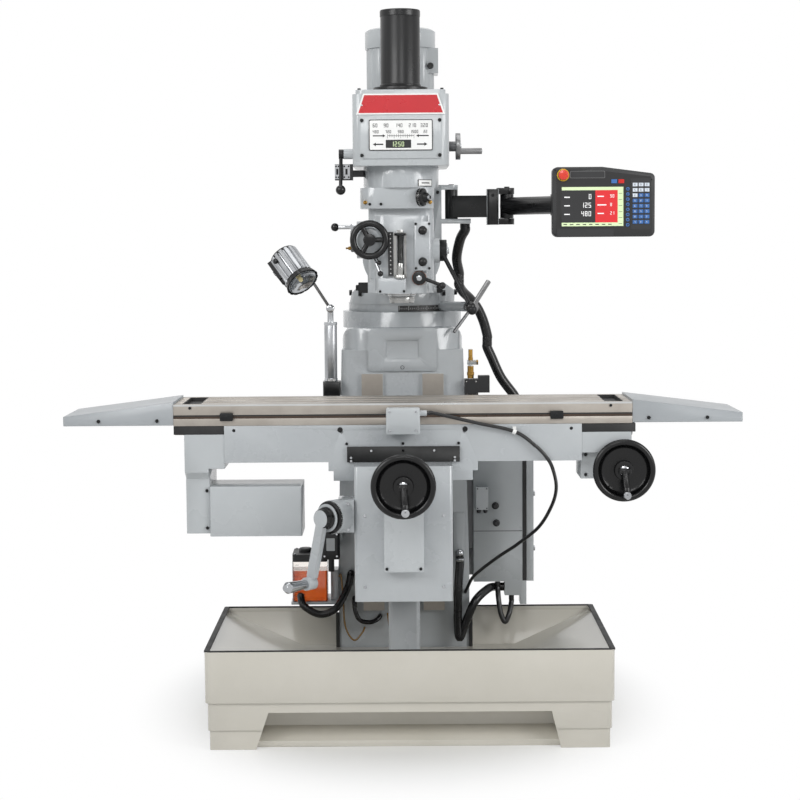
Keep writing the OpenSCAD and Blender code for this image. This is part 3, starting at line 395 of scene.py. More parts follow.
# The screen behind its flat window: the coloured fields are lit and glow a little.
SCREEN_DARK = Finish("screen_dark_field", "#101114", "#0C0D10", Grain.MOULDED, (0.08, 0.14),
                     patch_mm=120, grain_mm=30, relief_mm=0.004, ior=1.5, coat=0.5)
SCREEN_RED = Finish("screen_red_field", "#D0131C", "#C61019", Grain.MOULDED, (0.08, 0.14),
                    patch_mm=120, grain_mm=30, relief_mm=0.004, coat=0.5, glow=0.25)
SCREEN_PALE = Finish("screen_pale_field", "#CFE0B4", "#C3D6A4", Grain.MOULDED, (0.08, 0.14),
                     patch_mm=120, grain_mm=30, relief_mm=0.004, coat=0.5, glow=0.25)
SCREEN_WHITE = Finish("screen_white_strokes", "#EDEDED", "#E2E2E2", Grain.MOULDED, (0.08, 0.14),
                      patch_mm=120, grain_mm=30, relief_mm=0.004, coat=0.5, glow=0.3)
# Moulded silicone keys: clean colour without a sharp highlight.
KEY_BLUE = Finish("silicone_key_blue", "#4272B4", "#38649F", Grain.MOULDED, (0.35, 0.45),
                  patch_mm=20, grain_mm=2, relief_mm=0.02, ior=1.43)
KEY_WHITE = Finish("silicone_key_white", "#DDE3EA", "#CBD3DC", Grain.MOULDED, (0.35, 0.45),
                   patch_mm=20, grain_mm=2, relief_mm=0.02, ior=1.43)
KEY_RED = Finish("silicone_key_red", "#D02A24", "#B4201B", Grain.MOULDED, (0.3, 0.4),
                 patch_mm=20, grain_mm=2, relief_mm=0.02, ior=1.43)
# Moulded stop button and its ring: bright colour with a clear shine.
STOP_RED = Finish("moulded_stop_red", "#D8341C", "#C62A14", Grain.MOULDED, (0.2, 0.3),
                  patch_mm=20, grain_mm=3, relief_mm=0.02, coat=0.3, ior=1.53)
STOP_YELLOW = Finish("moulded_stop_yellow", "#E2B21B", "#D2A310", Grain.MOULDED, (0.28, 0.38),
                     patch_mm=20, grain_mm=3, relief_mm=0.02, ior=1.53)


# --- Shapes --------------------------------------------------------------------------


class Face(Enum):
    """The plane that an outline is drawn in, and the axis it is raised along."""

    TOP = "xy"
    FRONT = "xz"
    SIDE = "yz"


def spot(plane: Face, u: float, v: float, height: float) -> Vector:
    """Places a point of an outline in space.

    Args:
        plane: Plane of the outline.
        u: First coordinate in that plane.
        v: Second coordinate in that plane.
        height: Coordinate along the plane's normal.

    Returns:
        The point in X, Y and Z.
    """
    if plane is Face.TOP:
        return Vector((u, v, height))
    if plane is Face.FRONT:
        return Vector((u, height, v))
    return Vector((height, u, v))


def arc(x: float, y: float, r: float, start: float, end: float, steps: int = 6) -> Outline:
    """Points on a round stretch of an outline, angles in degrees."""
    turn = [math.radians(start + (end - start) * i / steps) for i in range(steps + 1)]
    return [(x + r * math.cos(a), y + r * math.sin(a)) for a in turn]


def rounded(x0: float, y0: float, x1: float, y1: float, r: float, steps: int = 5) -> Outline:
    """Outline of a rectangle with round corners.

    Args:
        x0: Left side.
        y0: Lower side.
        x1: Right side.
        y1: Upper side.
        r: Corner radius.
        steps: Straight stretches in each corner.

    Returns:
        The outline, counterclockwise.
    """
    return (
        arc(x1 - r, y1 - r, r, 0, 90, steps)
        + arc(x0 + r, y1 - r, r, 90, 180, steps)
        + arc(x0 + r, y0 + r, r, 180, 270, steps)
        + arc(x1 - r, y0 + r, r, 270, 360, steps)
    )


def smooth_route(points: Sequence[Point], steps: int) -> list[Vector]:
    """Runs one smooth curve through the points, as the machine's cords do.

    Args:
        points: Points in millimetres.
        steps: Stretches between two points.

    Returns:
        The curve's points in millimetres.
    """
    p = [Vector(q) for q in points]
    last = len(p) - 1
    out: list[Vector] = []
    for i in range(last):
        a, b, c, d = p[max(i - 1, 0)], p[i], p[i + 1], p[min(i + 2, last)]
        for k in range(steps):
            t = k / steps
            out.append(
                0.5
                * (
                    2 * b
                    + (c - a) * t
                    + (2 * a - 5 * b + 4 * c - d) * t * t
                    + (3 * b - a - 3 * c + d) * t**3
                )
            )
    out.append(p[last])
    return out


class Form:
    """A mesh under construction, in millimetres, which may have several finishes."""

    def __init__(self, place: Optional[Matrix] = None) -> None:
        """Starts an empty mesh.

        Args:
            place: Where the coordinates given later lie in the machine's frame.
        """
        self.mesh = bmesh.new()
        self.place = place or Matrix()
        self.finishes: list[Finish] = []
        self.index = 0

    def paint(self, finish: Finish) -> "Form":
        """Chooses the finish of what is drawn next.

        Args:
            finish: The finish.

        Returns:
            The form itself.
        """
        if finish not in self.finishes:
            self.finishes.append(finish)
        self.index = self.finishes.index(finish)
        return self

    def _settle(self, corners: list[bmesh.types.BMVert], edge: float = 0.0) -> None:
        """Gives the faces at new corners their finish, and rounds their sharp edges.

        Args:
            corners: The vertices that were just made.
            edge: Radius of the rounding, or 0.
        """
        faces = {f for v in corners for f in v.link_faces}
        for f in faces:
            f.material_index = self.index
        if edge > 0:
            edges = {e for v in corners for e in v.link_edges if e.is_manifold}
            sharp = [e for e in edges if e.calc_face_angle(0.0) > SHARP_TURN]
            bmesh.ops.bevel(
                self.mesh,
                geom=sharp,
                offset=edge,
                segments=ROUNDING_STEPS,
                profile=0.5,
                affect="EDGES",
                clamp_overlap=True,
                material=-1,
            )

    def _corner(self, point: Vector) -> bmesh.types.BMVert:
        """Makes a vertex at a point of the form's own frame."""
        return self.mesh.verts.new(self.place @ Vector(point))

    def prism(
        self, outline: Outline, low: float, high: float, plane: Face = Face.TOP, edge: float = 0.0
    ) -> "Form":
        """Raises an outline between two heights.

        Args:
            outline: The outline's points.
            low: First height.
            high: Second height.
            plane: Plane of the outline.
            edge: Rounding of its sharp edges.

        Returns:
            The form itself.
        """
        ends = [[self._corner(spot(plane, u, v, h)) for u, v in outline] for h in (low, high)]
        n = len(outline)
        for i in range(n):
            k = (i + 1) % n
            self.mesh.faces.new((ends[0][i], ends[0][k], ends[1][k], ends[1][i]))
        self.mesh.faces.new(list(reversed(ends[0])))
        self.mesh.faces.new(ends[1])
        self._settle(ends[0] + ends[1], edge)
        return self

    def block(
        self,
        x: Span,
        y: Span,
        z: Span,
        edge: float = 0.0,
    ) -> "Form":
        """Draws a block with rounded edges between three pairs of limits."""
        outline = [(x[0], y[0]), (x[1], y[0]), (x[1], y[1]), (x[0], y[1])]
        return self.prism(outline, z[0], z[1], Face.TOP, edge)

    def turned(
        self,
        at: Point,
        way: Point,
        profile: Sequence[Span],
        steps: int = 40,
        lobes: Optional[Callable[[int], float]] = None,
    ) -> "Form":
        """Turns a profile round an axis.

        Args:
            at: Point on the axis from which heights count.
            way: Direction of the axis.
            profile: Radius and height of each ring.
            steps: Sides of each ring.
            lobes: Factor on the radius for each side, for knurls and flutes.

        Returns:
            The form itself.
        """
        axis = Vector(way).normalized()
        across = axis.orthogonal().normalized()
        other = axis.cross(across)
        rings: list[list[bmesh.types.BMVert]] = []
        for radius, height in profile:
            centre = Vector(at) + axis * height
            if radius < 1e-6:
                rings.append([self._corner(centre)])
                continue
            ring = []
            for i in range(steps):
                a = 2 * math.pi * i / steps
                r = radius * (lobes(i) if lobes else 1.0)
                ring.append(self._corner(centre + r * (across * math.cos(a) + other * math.sin(a))))
            rings.append(ring)
        for low, high in zip(rings, rings[1:]):
            for i in range(steps):
                k = (i + 1) % steps
                if len(low) == 1 and len(high) > 1:
                    self.mesh.faces.new((low[0], high[k], high[i]))
                elif len(high) == 1 and len(low) > 1:
                    self.mesh.faces.new((low[i], low[k], high[0]))
                elif len(low) > 1:
                    self.mesh.faces.new((low[i], low[k], high[k], high[i]))
        if len(rings[0]) > 1:
            self.mesh.faces.new(list(reversed(rings[0])))
        if len(rings[-1]) > 1:
            self.mesh.faces.new(rings[-1])
        self._settle([v for ring in rings for v in ring])
        return self

    def rod(self, start: Point, end: Point, r: float, steps: int = 24) -> "Form":
        """Draws a round bar between two points.

        Args:
            start: Middle of its first end.
            end: Middle of its other end.
            r: Its radius.
            steps: Its sides.

        Returns:
            The form itself.
        """
        way = Vector(end) - Vector(start)
        return self.turned(start, tuple(way), [(r, 0.0), (r, way.length)], steps)

    def ball(
        self, at: Point, r: float, steps: int = 24, squash: float = 1.0, way: Point = UP
    ) -> "Form":
        """Draws a ball, flattened along a direction if asked.

        Args:
            at: Its middle.
            r: Its radius.
            steps: Its sides round the direction.
            squash: Its height as a share of its width.
            way: Direction in which it is flattened.

        Returns:
            The form itself.
        """
        n = steps // 2
        profile = [
            (r * math.sin(math.pi * i / n) if 0 < i < n else 0.0,
             -r * squash * math.cos(math.pi * i / n))
            for i in range(n + 1)
        ]
        return self.turned(at, way, profile, steps)

    def cap_screw(self, at: Point, way: Point, r: float, tall: float = 0.0) -> "Form":
        """Draws a socket-head cap screw with its hexagon socket.

        Args:
            at: Where its head is seated.
            way: Direction in which its head points.
            r: Radius of its head.
            tall: Height of its head, 0.9 of the radius where none is given.

        Returns:
            The form itself.
        """
        tall = tall or r * 0.9
        self.turned(
            at,
            way,
            [(r * 0.96, 0), (r, tall * 0.15), (r, tall * 0.82), (r * 0.9, tall)],
            20,
        )
        self.turned(at, way, [(r * 0.5, tall * 1.0), (r * 0.5, tall * 1.03)], 6)
        return self

    def hex_bolt(self, at: Point, way: Point, r: float, tall: float) -> "Form":
        """Draws a hexagon bolt head on its washer face.

        Args:
            at: Where its head is seated.
            way: Direction in which its head points.
            r: Radius of its head over the corners.
            tall: Height of its head.

        Returns:
            The form itself.
        """
        self.turned(at, way, [(r * 1.1, 0), (r * 1.1, tall * 0.15)], 24)
        self.turned(at, way, [(r, tall * 0.15), (r, tall * 0.9), (r * 0.86, tall)], 6)
        return self

    def done(
        self,
        name: str,
        body: str,
        slot: Optional[str] = None,
        replaces: Iterable[str] = (),
        angle: float = 35.0,
    ) -> bpy.types.Object:
        """Turns the form into an object that rides on a body.

        Args:
            name: The piece's name.
            body: The body that carries it.
            slot: The record's material slot it stands for. Not used.
            replaces: Solids that it stands for.
            angle: Edges sharper than this stay sharp, in degrees.

        Returns:
            The new object.
        """
        bmesh.ops.recalc_face_normals(self.mesh, faces=self.mesh.faces)
        bmesh.ops.scale(self.mesh, vec=(MM, MM, MM), verts=self.mesh.verts)
        data = bpy.data.meshes.new(name)
        self.mesh.to_mesh(data)
        self.mesh.free()
        data.shade_smooth()
        data.set_sharp_from_angle(angle=math.radians(angle))
        for finish in self.finishes:
            data.materials.append(finish.material())
        piece = bpy.data.objects.new(name, data)
        bpy.context.scene.collection.objects.link(piece)
        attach(piece, body)
        nodes = list(replaces)
        if nodes:
            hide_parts(*nodes)
        LOG.info("made %s on %s", name, body)
        return piece


# --- Solids of the machine -----------------------------------------------------------


def dress_solid(node: str, finish: Finish, edge: float = 0.8, angle: float = 32.0) -> None:
    """Gives a machine solid its material and a fine rounding of its edges.

    Args:
        node: The solid's name.
        finish: Its finish.
        edge: Rounding of its edges.
        angle: Edges sharper than this are rounded, in degrees.
    """
    solid = bpy.data.objects[node]
    solid.data.materials.clear()
    solid.data.materials.append(finish.material())
    solid.data.shade_smooth()
    solid.data.set_sharp_from_angle(angle=math.radians(angle))
    if edge > 0:
        weld = solid.modifiers.new("weld", "WELD")
        weld.merge_threshold = WELD_MM * MM
        round_off = solid.modifiers.new("rounding", "BEVEL")
        round_off.width = edge * MM
        round_off.segments = ROUNDING_STEPS
        round_off.limit_method = "ANGLE"
        round_off.angle_limit = math.radians(angle)
        round_off.use_clamp_overlap = True
        round_off.harden_normals = True


@dataclass(frozen=True)
class SoftBox:
    """A square soft box: where it hangs, what it faces, its side and its power in watts."""

    name: str
    at: Point
    towards: Point
    side: float
    power: float


@dataclass
class Studio:
    """Camera, light and floor of the picture.

    Angles are in degrees, the lens and its sensor in millimetres, and the camera's sight and
    the floor's fade in metres.
    """

    camera_at: Point = (0.0, -5790.0, 1431.0)
    tilt: float = 4.95
    turn: float = 0.082
    roll: float = -0.42
    lens: float = 85.0
    sensor: float = 36.0
    sight: float = 60.0
    boxes: tuple[SoftBox, ...] = (
        SoftBox("key_box", (-2500, -3100, 2900), (0, 0, 900), 1700, 65),
        SoftBox("fill_box", (3000, -2600, 2300), (0, 0, 1000), 1700, 62),
        SoftBox("top_box", (0, -300, 4300), (0, -200, 900), 2600, 34),
        SoftBox("front_box", (0, -5400, 3700), (0, 0, 700), 1500, 39),
    )
    # The surroundings brighten from one height to the other, as parts of a unit sphere.
    horizon: Span = (-0.2, 0.7)
    sky: Span = (0.2, 0.42)
    floor_reach: float = 9000.0
    floor_drop: float = 0.5
    # The floor fades out between these distances, sooner to the sides.
    fade: Span = (0.62, 1.15)
    fade_shape: Point = (1.35, 1.0, 1.0)

    def camera(self) -> None:
        """Sets the camera: long lens, a little above the pendant, tilted down."""
        lens = bpy.data.cameras.new("camera")
        lens.lens = self.lens
        lens.sensor_width = self.sensor
        lens.clip_end = self.sight
        camera = bpy.data.objects.new("camera", lens)
        camera.matrix_world = (
            Matrix.Translation(Vector(self.camera_at) * MM)
            @ Matrix.Rotation(math.radians(self.turn), 4, "Z")
            @ Matrix.Rotation(math.radians(90 - self.tilt), 4, "X")
            @ Matrix.Rotation(math.radians(self.roll), 4, "Z")
        )
        bpy.context.scene.collection.objects.link(camera)
        bpy.context.scene.camera = camera

    def lights(self) -> None:
        """Hangs one large soft box on each side, one above and one in front."""
        for box in self.boxes:
            light = bpy.data.lights.new(box.name, "AREA")
            light.shape = "SQUARE"
            light.size = box.side * MM
            light.energy = box.power
            lamp = bpy.data.objects.new(box.name, light)
            lamp.location = Vector(box.at) * MM
            heading = Vector(box.towards) - Vector(box.at)
            lamp.rotation_euler = heading.to_track_quat("-Z", "Y").to_euler()
            bpy.context.scene.collection.objects.link(lamp)

    @staticmethod
    def _seen(tree: bpy.types.NodeTree) -> bpy.types.NodeSocket:
        """Finds the rays that show the surroundings: straight, mirrored or through glass.

        Args:
            tree: The node tree that asks.

        Returns:
            A socket that is 1 for those rays.
        """
        path = add_node(tree, "ShaderNodeLightPath")
        mirrored = add_node(
            tree,
            "ShaderNodeMath",
            {0: path.outputs["Is Glossy Ray"], 1: path.outputs["Is Transmission Ray"]},
            operation="MAXIMUM",
        ).outputs[0]
        return add_node(
            tree,
            "ShaderNodeMath",
            {0: path.outputs["Is Camera Ray"], 1: mirrored},
            operation="MAXIMUM",
        ).outputs[0]

    def world(self) -> None:
        """Makes the surroundings soft grey to light the scene, but white in the picture."""
        world = bpy.data.worlds.new("studio")
        bpy.context.scene.world = world
        world.use_nodes = True
        tree = world.node_tree
        tree.nodes.clear()
        seen = self._seen(tree)
        place = add_node(tree, "ShaderNodeTexCoord").outputs["Generated"]
        height = add_node(tree, "ShaderNodeSeparateXYZ", {0: place}).outputs["Z"]
        share = add_node(
            tree,
            "ShaderNodeMapRange",
            {
                "Value": height,
                "From Min": self.horizon[0],
                "From Max": self.horizon[1],
                "To Min": self.sky[0],
                "To Max": self.sky[1],
            },
        ).outputs["Result"]
        soft = add_node(
            tree, "ShaderNodeBackground", {"Color": linear("#F2F5F8"), "Strength": share}
        )
        white = add_node(
            tree, "ShaderNodeBackground", {"Color": (1, 1, 1, 1), "Strength": 1.0}
        )
        mixed = add_node(
            tree,
            "ShaderNodeMixShader",
            {0: seen, 1: soft.outputs[0], 2: white.outputs[0]},
        )
        add_node(tree, "ShaderNodeOutputWorld", {"Surface": mixed.outputs[0]})

    def floor(self) -> None:
        """Lays the floor, which fades into the white round the machine."""
        mesh = bmesh.new()
        reach = self.floor_reach * MM
        low = -self.floor_drop * MM
        corners = [(-reach, -reach), (reach, -reach), (reach, reach), (-reach, reach)]
        mesh.faces.new([mesh.verts.new((x, y, low)) for x, y in corners])
        data = bpy.data.meshes.new("floor")
        mesh.to_mesh(data)
        mesh.free()
        data.materials.append(self._floor_paint())
        floor = bpy.data.objects.new("floor", data)
        bpy.context.scene.collection.objects.link(floor)

    def _floor_paint(self) -> bpy.types.Material:
        """Makes the floor's sealed paint, white to the lens away from the machine.

        Returns:
            The floor's material.
        """
        material = bpy.data.materials.new("sealed_studio_floor")
        material.use_nodes = True
        tree = material.node_tree
        tree.nodes.clear()
        place = add_node(tree, "ShaderNodeTexCoord").outputs["Object"]
        mottle = add_node(
            tree, "ShaderNodeTexNoise", {"Vector": place, "Scale": 1.6, "Detail": 4.0}
        ).outputs["Fac"]
        tone = add_node(
            tree,
            "ShaderNodeMix",
            {0: mottle, 6: linear("#F4F4F3"), 7: linear("#ECECEB")},
            data_type="RGBA",
        ).outputs[2]
        matt = add_node(
            tree, "ShaderNodeMapRange", {"Value": mottle, "To Min": 0.32, "To Max": 0.42}
        ).outputs["Result"]
        painted = add_node(
            tree,
            "ShaderNodeBsdfPrincipled",
            {"Base Color": tone, "Roughness": matt, "IOR": 1.45},
        )
        oval = add_node(
            tree, "ShaderNodeVectorMath", {0: place, 1: self.fade_shape}, operation="MULTIPLY"
        ).outputs[0]
        away = add_node(
            tree, "ShaderNodeVectorMath", {0: oval}, operation="LENGTH"
        ).outputs["Value"]
        fade = add_node(
            tree,
            "ShaderNodeMapRange",
            {"Value": away, "From Min": self.fade[0], "From Max": self.fade[1]},
            interpolation_type="SMOOTHSTEP",
        ).outputs["Result"]
        share = add_node(
            tree, "ShaderNodeMath", {0: fade, 1: self._seen(tree)}, operation="MULTIPLY"
        ).outputs[0]
        white = add_node(tree, "ShaderNodeEmission", {"Color": (1, 1, 1, 1), "Strength": 1.0})
        mixed = add_node(
            tree,
            "ShaderNodeMixShader",
            {0: share, 1: painted.outputs[0], 2: white.outputs[0]},
        )
        add_node(tree, "ShaderNodeOutputMaterial", {"Surface": mixed.outputs[0]})
        return material

    def build(self) -> None:
        """Sets up the whole studio."""
        bpy.context.scene.view_settings.view_transform = "Standard"
        self.camera()
        self.lights()
        self.world()
        self.floor()


@dataclass(frozen=True)
class CordRun:
    """One free cord: its route, where it leaves, and where it ends."""

    name: str
    body: str
    radius: float
    route: tuple[Point, ...]
    finish: Finish
    stiffness: str = "medium"


@dataclass
class Cords:
    """The machine's cords, hoses and oil pipes."""

    runs: tuple[CordRun, ...] = (
        CordRun("conduit_upper_cord", "ram", 15, (
            (190, -116, 1467.6), (190, -116, 1458), (190, -116, 1448), (176, -104, 1420),
            (166, -76, 1366), (174, -40, 1322), (174, -40, 1311), (174, -40, 1300.6),
        ), GLOSS_HOSE, "stiff"),
        CordRun("conduit_middle_cord", "turret", 15, (
            (174, -40, 1300), (174, -40, 1291), (174, -40, 1282), (186, -14, 1262),
            (210, 14, 1238), (232, 22, 1210), (250, 27, 1170), (262, 30, 1126),
            (262, 30, 1116), (262, 30, 1107),
        ), GLOSS_HOSE, "stiff"),
        CordRun("conduit_lower_cord", "base", 15, (
            (262, 30, 1106.4), (262, 30, 1097), (262, 30, 1088), (276, 30, 1056),
            (304, 30, 995), (344, 30, 940), (350, 30, 920), (350, 30, 910), (350, 30, 900.5),
        ), GLOSS_HOSE, "stiff"),
        CordRun("cabinet_loop_cord", "base", 8, (
            (288, -51, 372.5), (288, -51, 362), (288, -51, 351), (290, -68, 318),
            (296, -77, 278), (309, -79, 252), (322, -72, 276), (330, -51, 308),
            (330, -51, 319), (330, -51, 329.5),
        ), PVC_SHEATH),
        CordRun("bundle_cord", "base", 13, (
            (170, -112, 460.5), (170, -112, 448), (170, -112, 436), (165, -118, 360),
            (163, -119, 270), (168, -118, 212), (184, -116, 250), (216, -112, 322),
            (256, -70, 352), (280, -30, 352), (294, -30, 352), (308.6, -30, 352),
        ), GLOSS_HOSE),
        CordRun("left_hose_cord", "base", 11, (
            (-312, -140.6, 348), (-312, -148, 348), (-312, -156, 348), (-300, -174, 322),
            (-252, -174, 298), (-204, -164, 316), (-172, -122, 368), (-162, -104, 406),
            (-162, -92, 406), (-162, -80.6, 406),
        ), GLOSS_HOSE),
        CordRun("small_hose_cord", "base", 7, (
            (-152, -80.6, 330), (-152, -90, 330), (-152, -99, 330), (-150, -112, 300),
            (-136, -113, 268), (-106, -112, 260), (-84, -106, 266), (-74, -98, 275),
            (-74, -89, 275), (-74, -80.6, 275),
        ), GLOSS_HOSE),
        CordRun("knee_cable_cord", "base", 5, (
            (326.6, -299.5, 522.6), (270, -224, 470), (212, -160, 410), (192, -116, 364),
            (188, -98, 349), (188, -89, 349), (188, -80.6, 349),
        ), PVC_SHEATH),
        CordRun("saddle_cable_cord", "saddle", 5, (
            (66.4, -614, 946), (76, -614, 946), (86, -614, 946), (200, -608, 918),
            (308, -602, 892), (366, -603, 852), (398, -602, 818), (416, -586, 782),
            (430, -520, 722), (420, -460, 660), (388, -380, 588), (327, -300, 523),
        ), PVC_SHEATH),
        CordRun("left_oil_pipe_cord", "base", 3, (
            (-200, -92, 400), (-196, -92, 400), (-192, -92, 400), (-186, -108, 340),
            (-180, -114, 250), (-154, -116, 206), (-130, -112, 226), (-122, -98, 238),
            (-122, -89, 238), (-122, -80.6, 238),
        ), NYLON_PIPE),
        CordRun("right_oil_pipe_cord", "base", 3, (
            (-50, -80.6, 280), (-50, -89, 280), (-50, -98, 280), (-44, -112, 244),
            (-30, -114, 234), (2, -113, 246), (26, -98, 280), (26, -89, 280),
            (26, -80.6, 280),
        ), NYLON_PIPE),
    )
    stretches: int = 8
    nodes: ClassVar[dict[str, str]] = {
        "conduit_upper_cord": "conduit_upper",
        "conduit_middle_cord": "conduit_middle",
        "conduit_lower_cord": "base_hoses",
        "saddle_cable_cord": "saddle_cable",
        "left_oil_pipe_cord": "oil_pipes",
    }
    slots: ClassVar[dict[Finish, str]] = {NYLON_PIPE: "oil_pipe"}

    def build(self) -> None:
        """Draws every cord on its body and hides the solids that it stands for."""
        for run in self.runs:
            points = smooth_route(run.route, self.stretches)
            curve = bpy.data.curves.new(run.name, "CURVE")
            curve.dimensions = "3D"
            curve.bevel_depth = run.radius * MM
            curve.bevel_resolution = 6
            curve.use_fill_caps = True
            spline = curve.splines.new("POLY")
            spline.points.add(len(points) - 1)
            for slot, point in zip(spline.points, points):
                slot.co = (*(point * MM), 1.0)
            spline.use_smooth = True
            curve.materials.append(run.finish.material())
            cord = bpy.data.objects.new(run.name, curve)
            bpy.context.scene.collection.objects.link(cord)
            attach(cord, run.body)
            if run.name in self.nodes:
                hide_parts(self.nodes[run.name])


# --- Small things shared by the groups -----------------------------------------------


def land(node: str, start: Point, way: Point) -> Point:
    """Finds where a straight line first meets a solid.

    Args:
        node: The solid's name.
        start: Where the line starts, in millimetres.
        way: Its direction.

    Returns:
        The point on the solid, or the start if the line misses it.
    """
    solid = bpy.data.objects[node]
    back = solid.matrix_world.inverted()
    origin = back @ (Vector(start) * MM)
    heading = (back.to_3x3() @ Vector(way)).normalized()
    hit, where, _, _ = solid.ray_cast(origin, heading)
    return tuple((solid.matrix_world @ where) / MM) if hit else start


def front_of(node: str, x: float, z: float) -> Point:
    """Finds the point on a solid's front at a place in X and Z."""
    return land(node, (x, FAR_AHEAD, z), TO_BACK)


def limits(side: int, near: float, far: float) -> Span:
    """Gives two distances from the middle as rising X limits on one side.

    Args:
        side: 1 for the right, -1 for the left.
        near: Distance of the nearer limit.
        far: Distance of the further limit.

    Returns:
        The lower and the higher limit.
    """
    low, high = sorted((side * near, side * far))
    return (low, high)


def seat_screws(form: Form, node: str, spots: Spots, r: float, tall: float = 0.0) -> None:
    """Seats cap screws on a solid's front.

    Args:
        form: Form that takes the screws.
        node: The solid's name.
        spots: X and Z of each screw.
        r: Radius of the heads.
        tall: Height of the heads, 0.9 of the radius where none is given.
    """
    for x, z in spots:
        form.cap_screw(front_of(node, x, z), TO_FRONT, r, tall)


# Bars of a digit: a on top, then clockwise to f, and g across the middle.
BARS: dict[str, str] = {
    "0": "abcdef", "1": "bc", "2": "abged", "3": "abgcd", "4": "fgbc",
    "5": "afgcd", "6": "afgedc", "7": "abc", "8": "abcdefg", "9": "abcdfg",
}


def figures(form: Form, text: str, x: float, y: float, z: float, tall: float) -> None:
    """Writes numbers as raised bars on a surface that faces the front.

    Args:
        form: Form that takes the bars.
        text: The digits.
        x: Left end.
        y: Depth of the surface.
        z: Foot of the digits.
        tall: Height of the digits.
    """
    wide, bar, pitch, h = tall * 0.5, tall * 0.12, tall * 0.72, tall / 2
    spans = {
        "a": ((0, wide), (tall - bar, tall)), "d": ((0, wide), (0, bar)),
        "g": ((0, wide), (h - bar / 2, h + bar / 2)), "b": ((wide - bar, wide), (h, tall)),
        "c": ((wide - bar, wide), (0, h)), "f": ((0, bar), (h, tall)), "e": ((0, bar), (0, h)),
    }
    for place, digit in enumerate(text):
        left = x + place * pitch
        for name in BARS.get(digit, ""):
            (u0, u1), (v0, v1) = spans[name]
            form.block((left + u0, left + u1), (y - PROUD, y + SUNK), (z + v0, z + v1))


def arrow(form: Form, x: float, y: float, z: float, length: float, size: float) -> None:
    """Draws a flat arrow that points along x, or against it if the length is negative.

    Args:
        form: Form that takes the arrow.
        x: Its tail.
        y: Depth of the surface.
        z: Its middle line.
        length: From its tail to its tip.
        size: Length of its head.
    """
    neck = x + length - math.copysign(size, length)
    shaft, wing = size * 0.22, size * 0.6
    form.prism(
        [(x, z - shaft), (neck, z - shaft), (neck, z - wing), (x + length, z),
         (neck, z + wing), (neck, z + shaft), (x, z + shaft)],
        y - PROUD, y + SUNK, Face.FRONT,
    )


def ticks(form: Form, at: Point, way: Point, r: float, high: float, count: int) -> None:
    """Cuts graduation marks round a dial, every fifth one longer.

    Args:
        form: Form that takes the marks.
        at: Point on the dial's axis.
        way: Direction of the axis.
        r: Radius of the dial.
        high: Length of a short mark.
        count: Number of marks in the whole turn.
    """
    axis = Vector(way).normalized()
    across = axis.orthogonal().normalized()
    other = axis.cross(across)
    for i in range(count):
        a = 2 * math.pi * i / count
        foot = Vector(at) + r * (across * math.cos(a) + other * math.sin(a))
        reach = axis * high * (LONG_MARK if i % 5 == 0 else 1)
        form.rod(tuple(foot), tuple(foot + reach), 0.45, steps=4)


def handwheel_caps(at: Point, wheel: str, grip: str) -> None:
    """Adds a handwheel's bright nut, and the bright end of its folding handle.

    Args:
        at: Middle of the handwheel.
        wheel: The handwheel's body.
        grip: The handle's body.
    """
    x, y, z = at
    nut = Form().paint(CHROMED_STEEL)
    nut.turned((x, y - 25, z), TO_FRONT, [(13, 0), (13, 3), (9, 4.5), (9, 9), (6, 11)], 32)
    nut.done(f"{wheel}_cap", wheel, "bright_steel")
    end = Form().paint(CHROMED_STEEL)
    end.turned((x + 5, y - 50, z - 66), TO_FRONT, [(10.4, -2), (10.8, 7), (8.6, 9.4)], 32)
    end.done(f"{grip}_end", grip, "bright_steel")


class Group:
    """A sub-assembly: solids that it dresses, and pieces that it adds."""

    solids: ClassVar[dict[str, tuple[Finish, float]]] = {}

    def dress(self) -> None:
        """Gives the group's solids their finishes."""
        for node, (finish, edge) in self.solids.items():
            dress_solid(node, finish, edge)

    def build(self) -> None:
        """Adds the group's own pieces."""


@dataclass
class DripTray(Group):
    """The enamelled tray that the machine stands in."""

    side_left: float = -559.0
    side_right: float = 587.0
    # Height of the band's lower edge in front and behind.
    band: Span = (277.0, 262.0)
    trim_top: float = 283.6
    rim: float = 14.0
    recess_rim: Span = (198.5, 209.0)
    solids: ClassVar = {"tray": (TRAY_ENAMEL, 5.0), "tray_trim": (NITRILE, 1.4)}

    def build(self) -> None:
        """Adds the trim's deeper bands along both sides and the recess's upright rims."""
        form = Form().paint(NITRILE)
        front, rear = self.band
        top = self.trim_top
        outline = [(-594, front), (16, rear), (24, 270), (24, top), (-600, top), (-604, 280)]
        form.prism(outline, self.side_left - 0.8, self.side_left + 3, Face.SIDE, 0.8)
        form.prism(outline, self.side_right - 3, self.side_right + 0.8, Face.SIDE, 0.8)
        for low, high in ((self.side_left - 0.4, self.side_left + self.rim),
                          (self.side_right - self.rim, self.side_right + 0.4)):
            form.prism(rounded(low, -604, high, 26, 6), 279.6, 284.3, edge=0.8)
        for side in BOTH_SIDES:
            form.block(limits(side, *self.recess_rim), (-87, -70), (62, 283.4), 0.8)
        form.done("tray_side_bands", "base", "black_rubber")


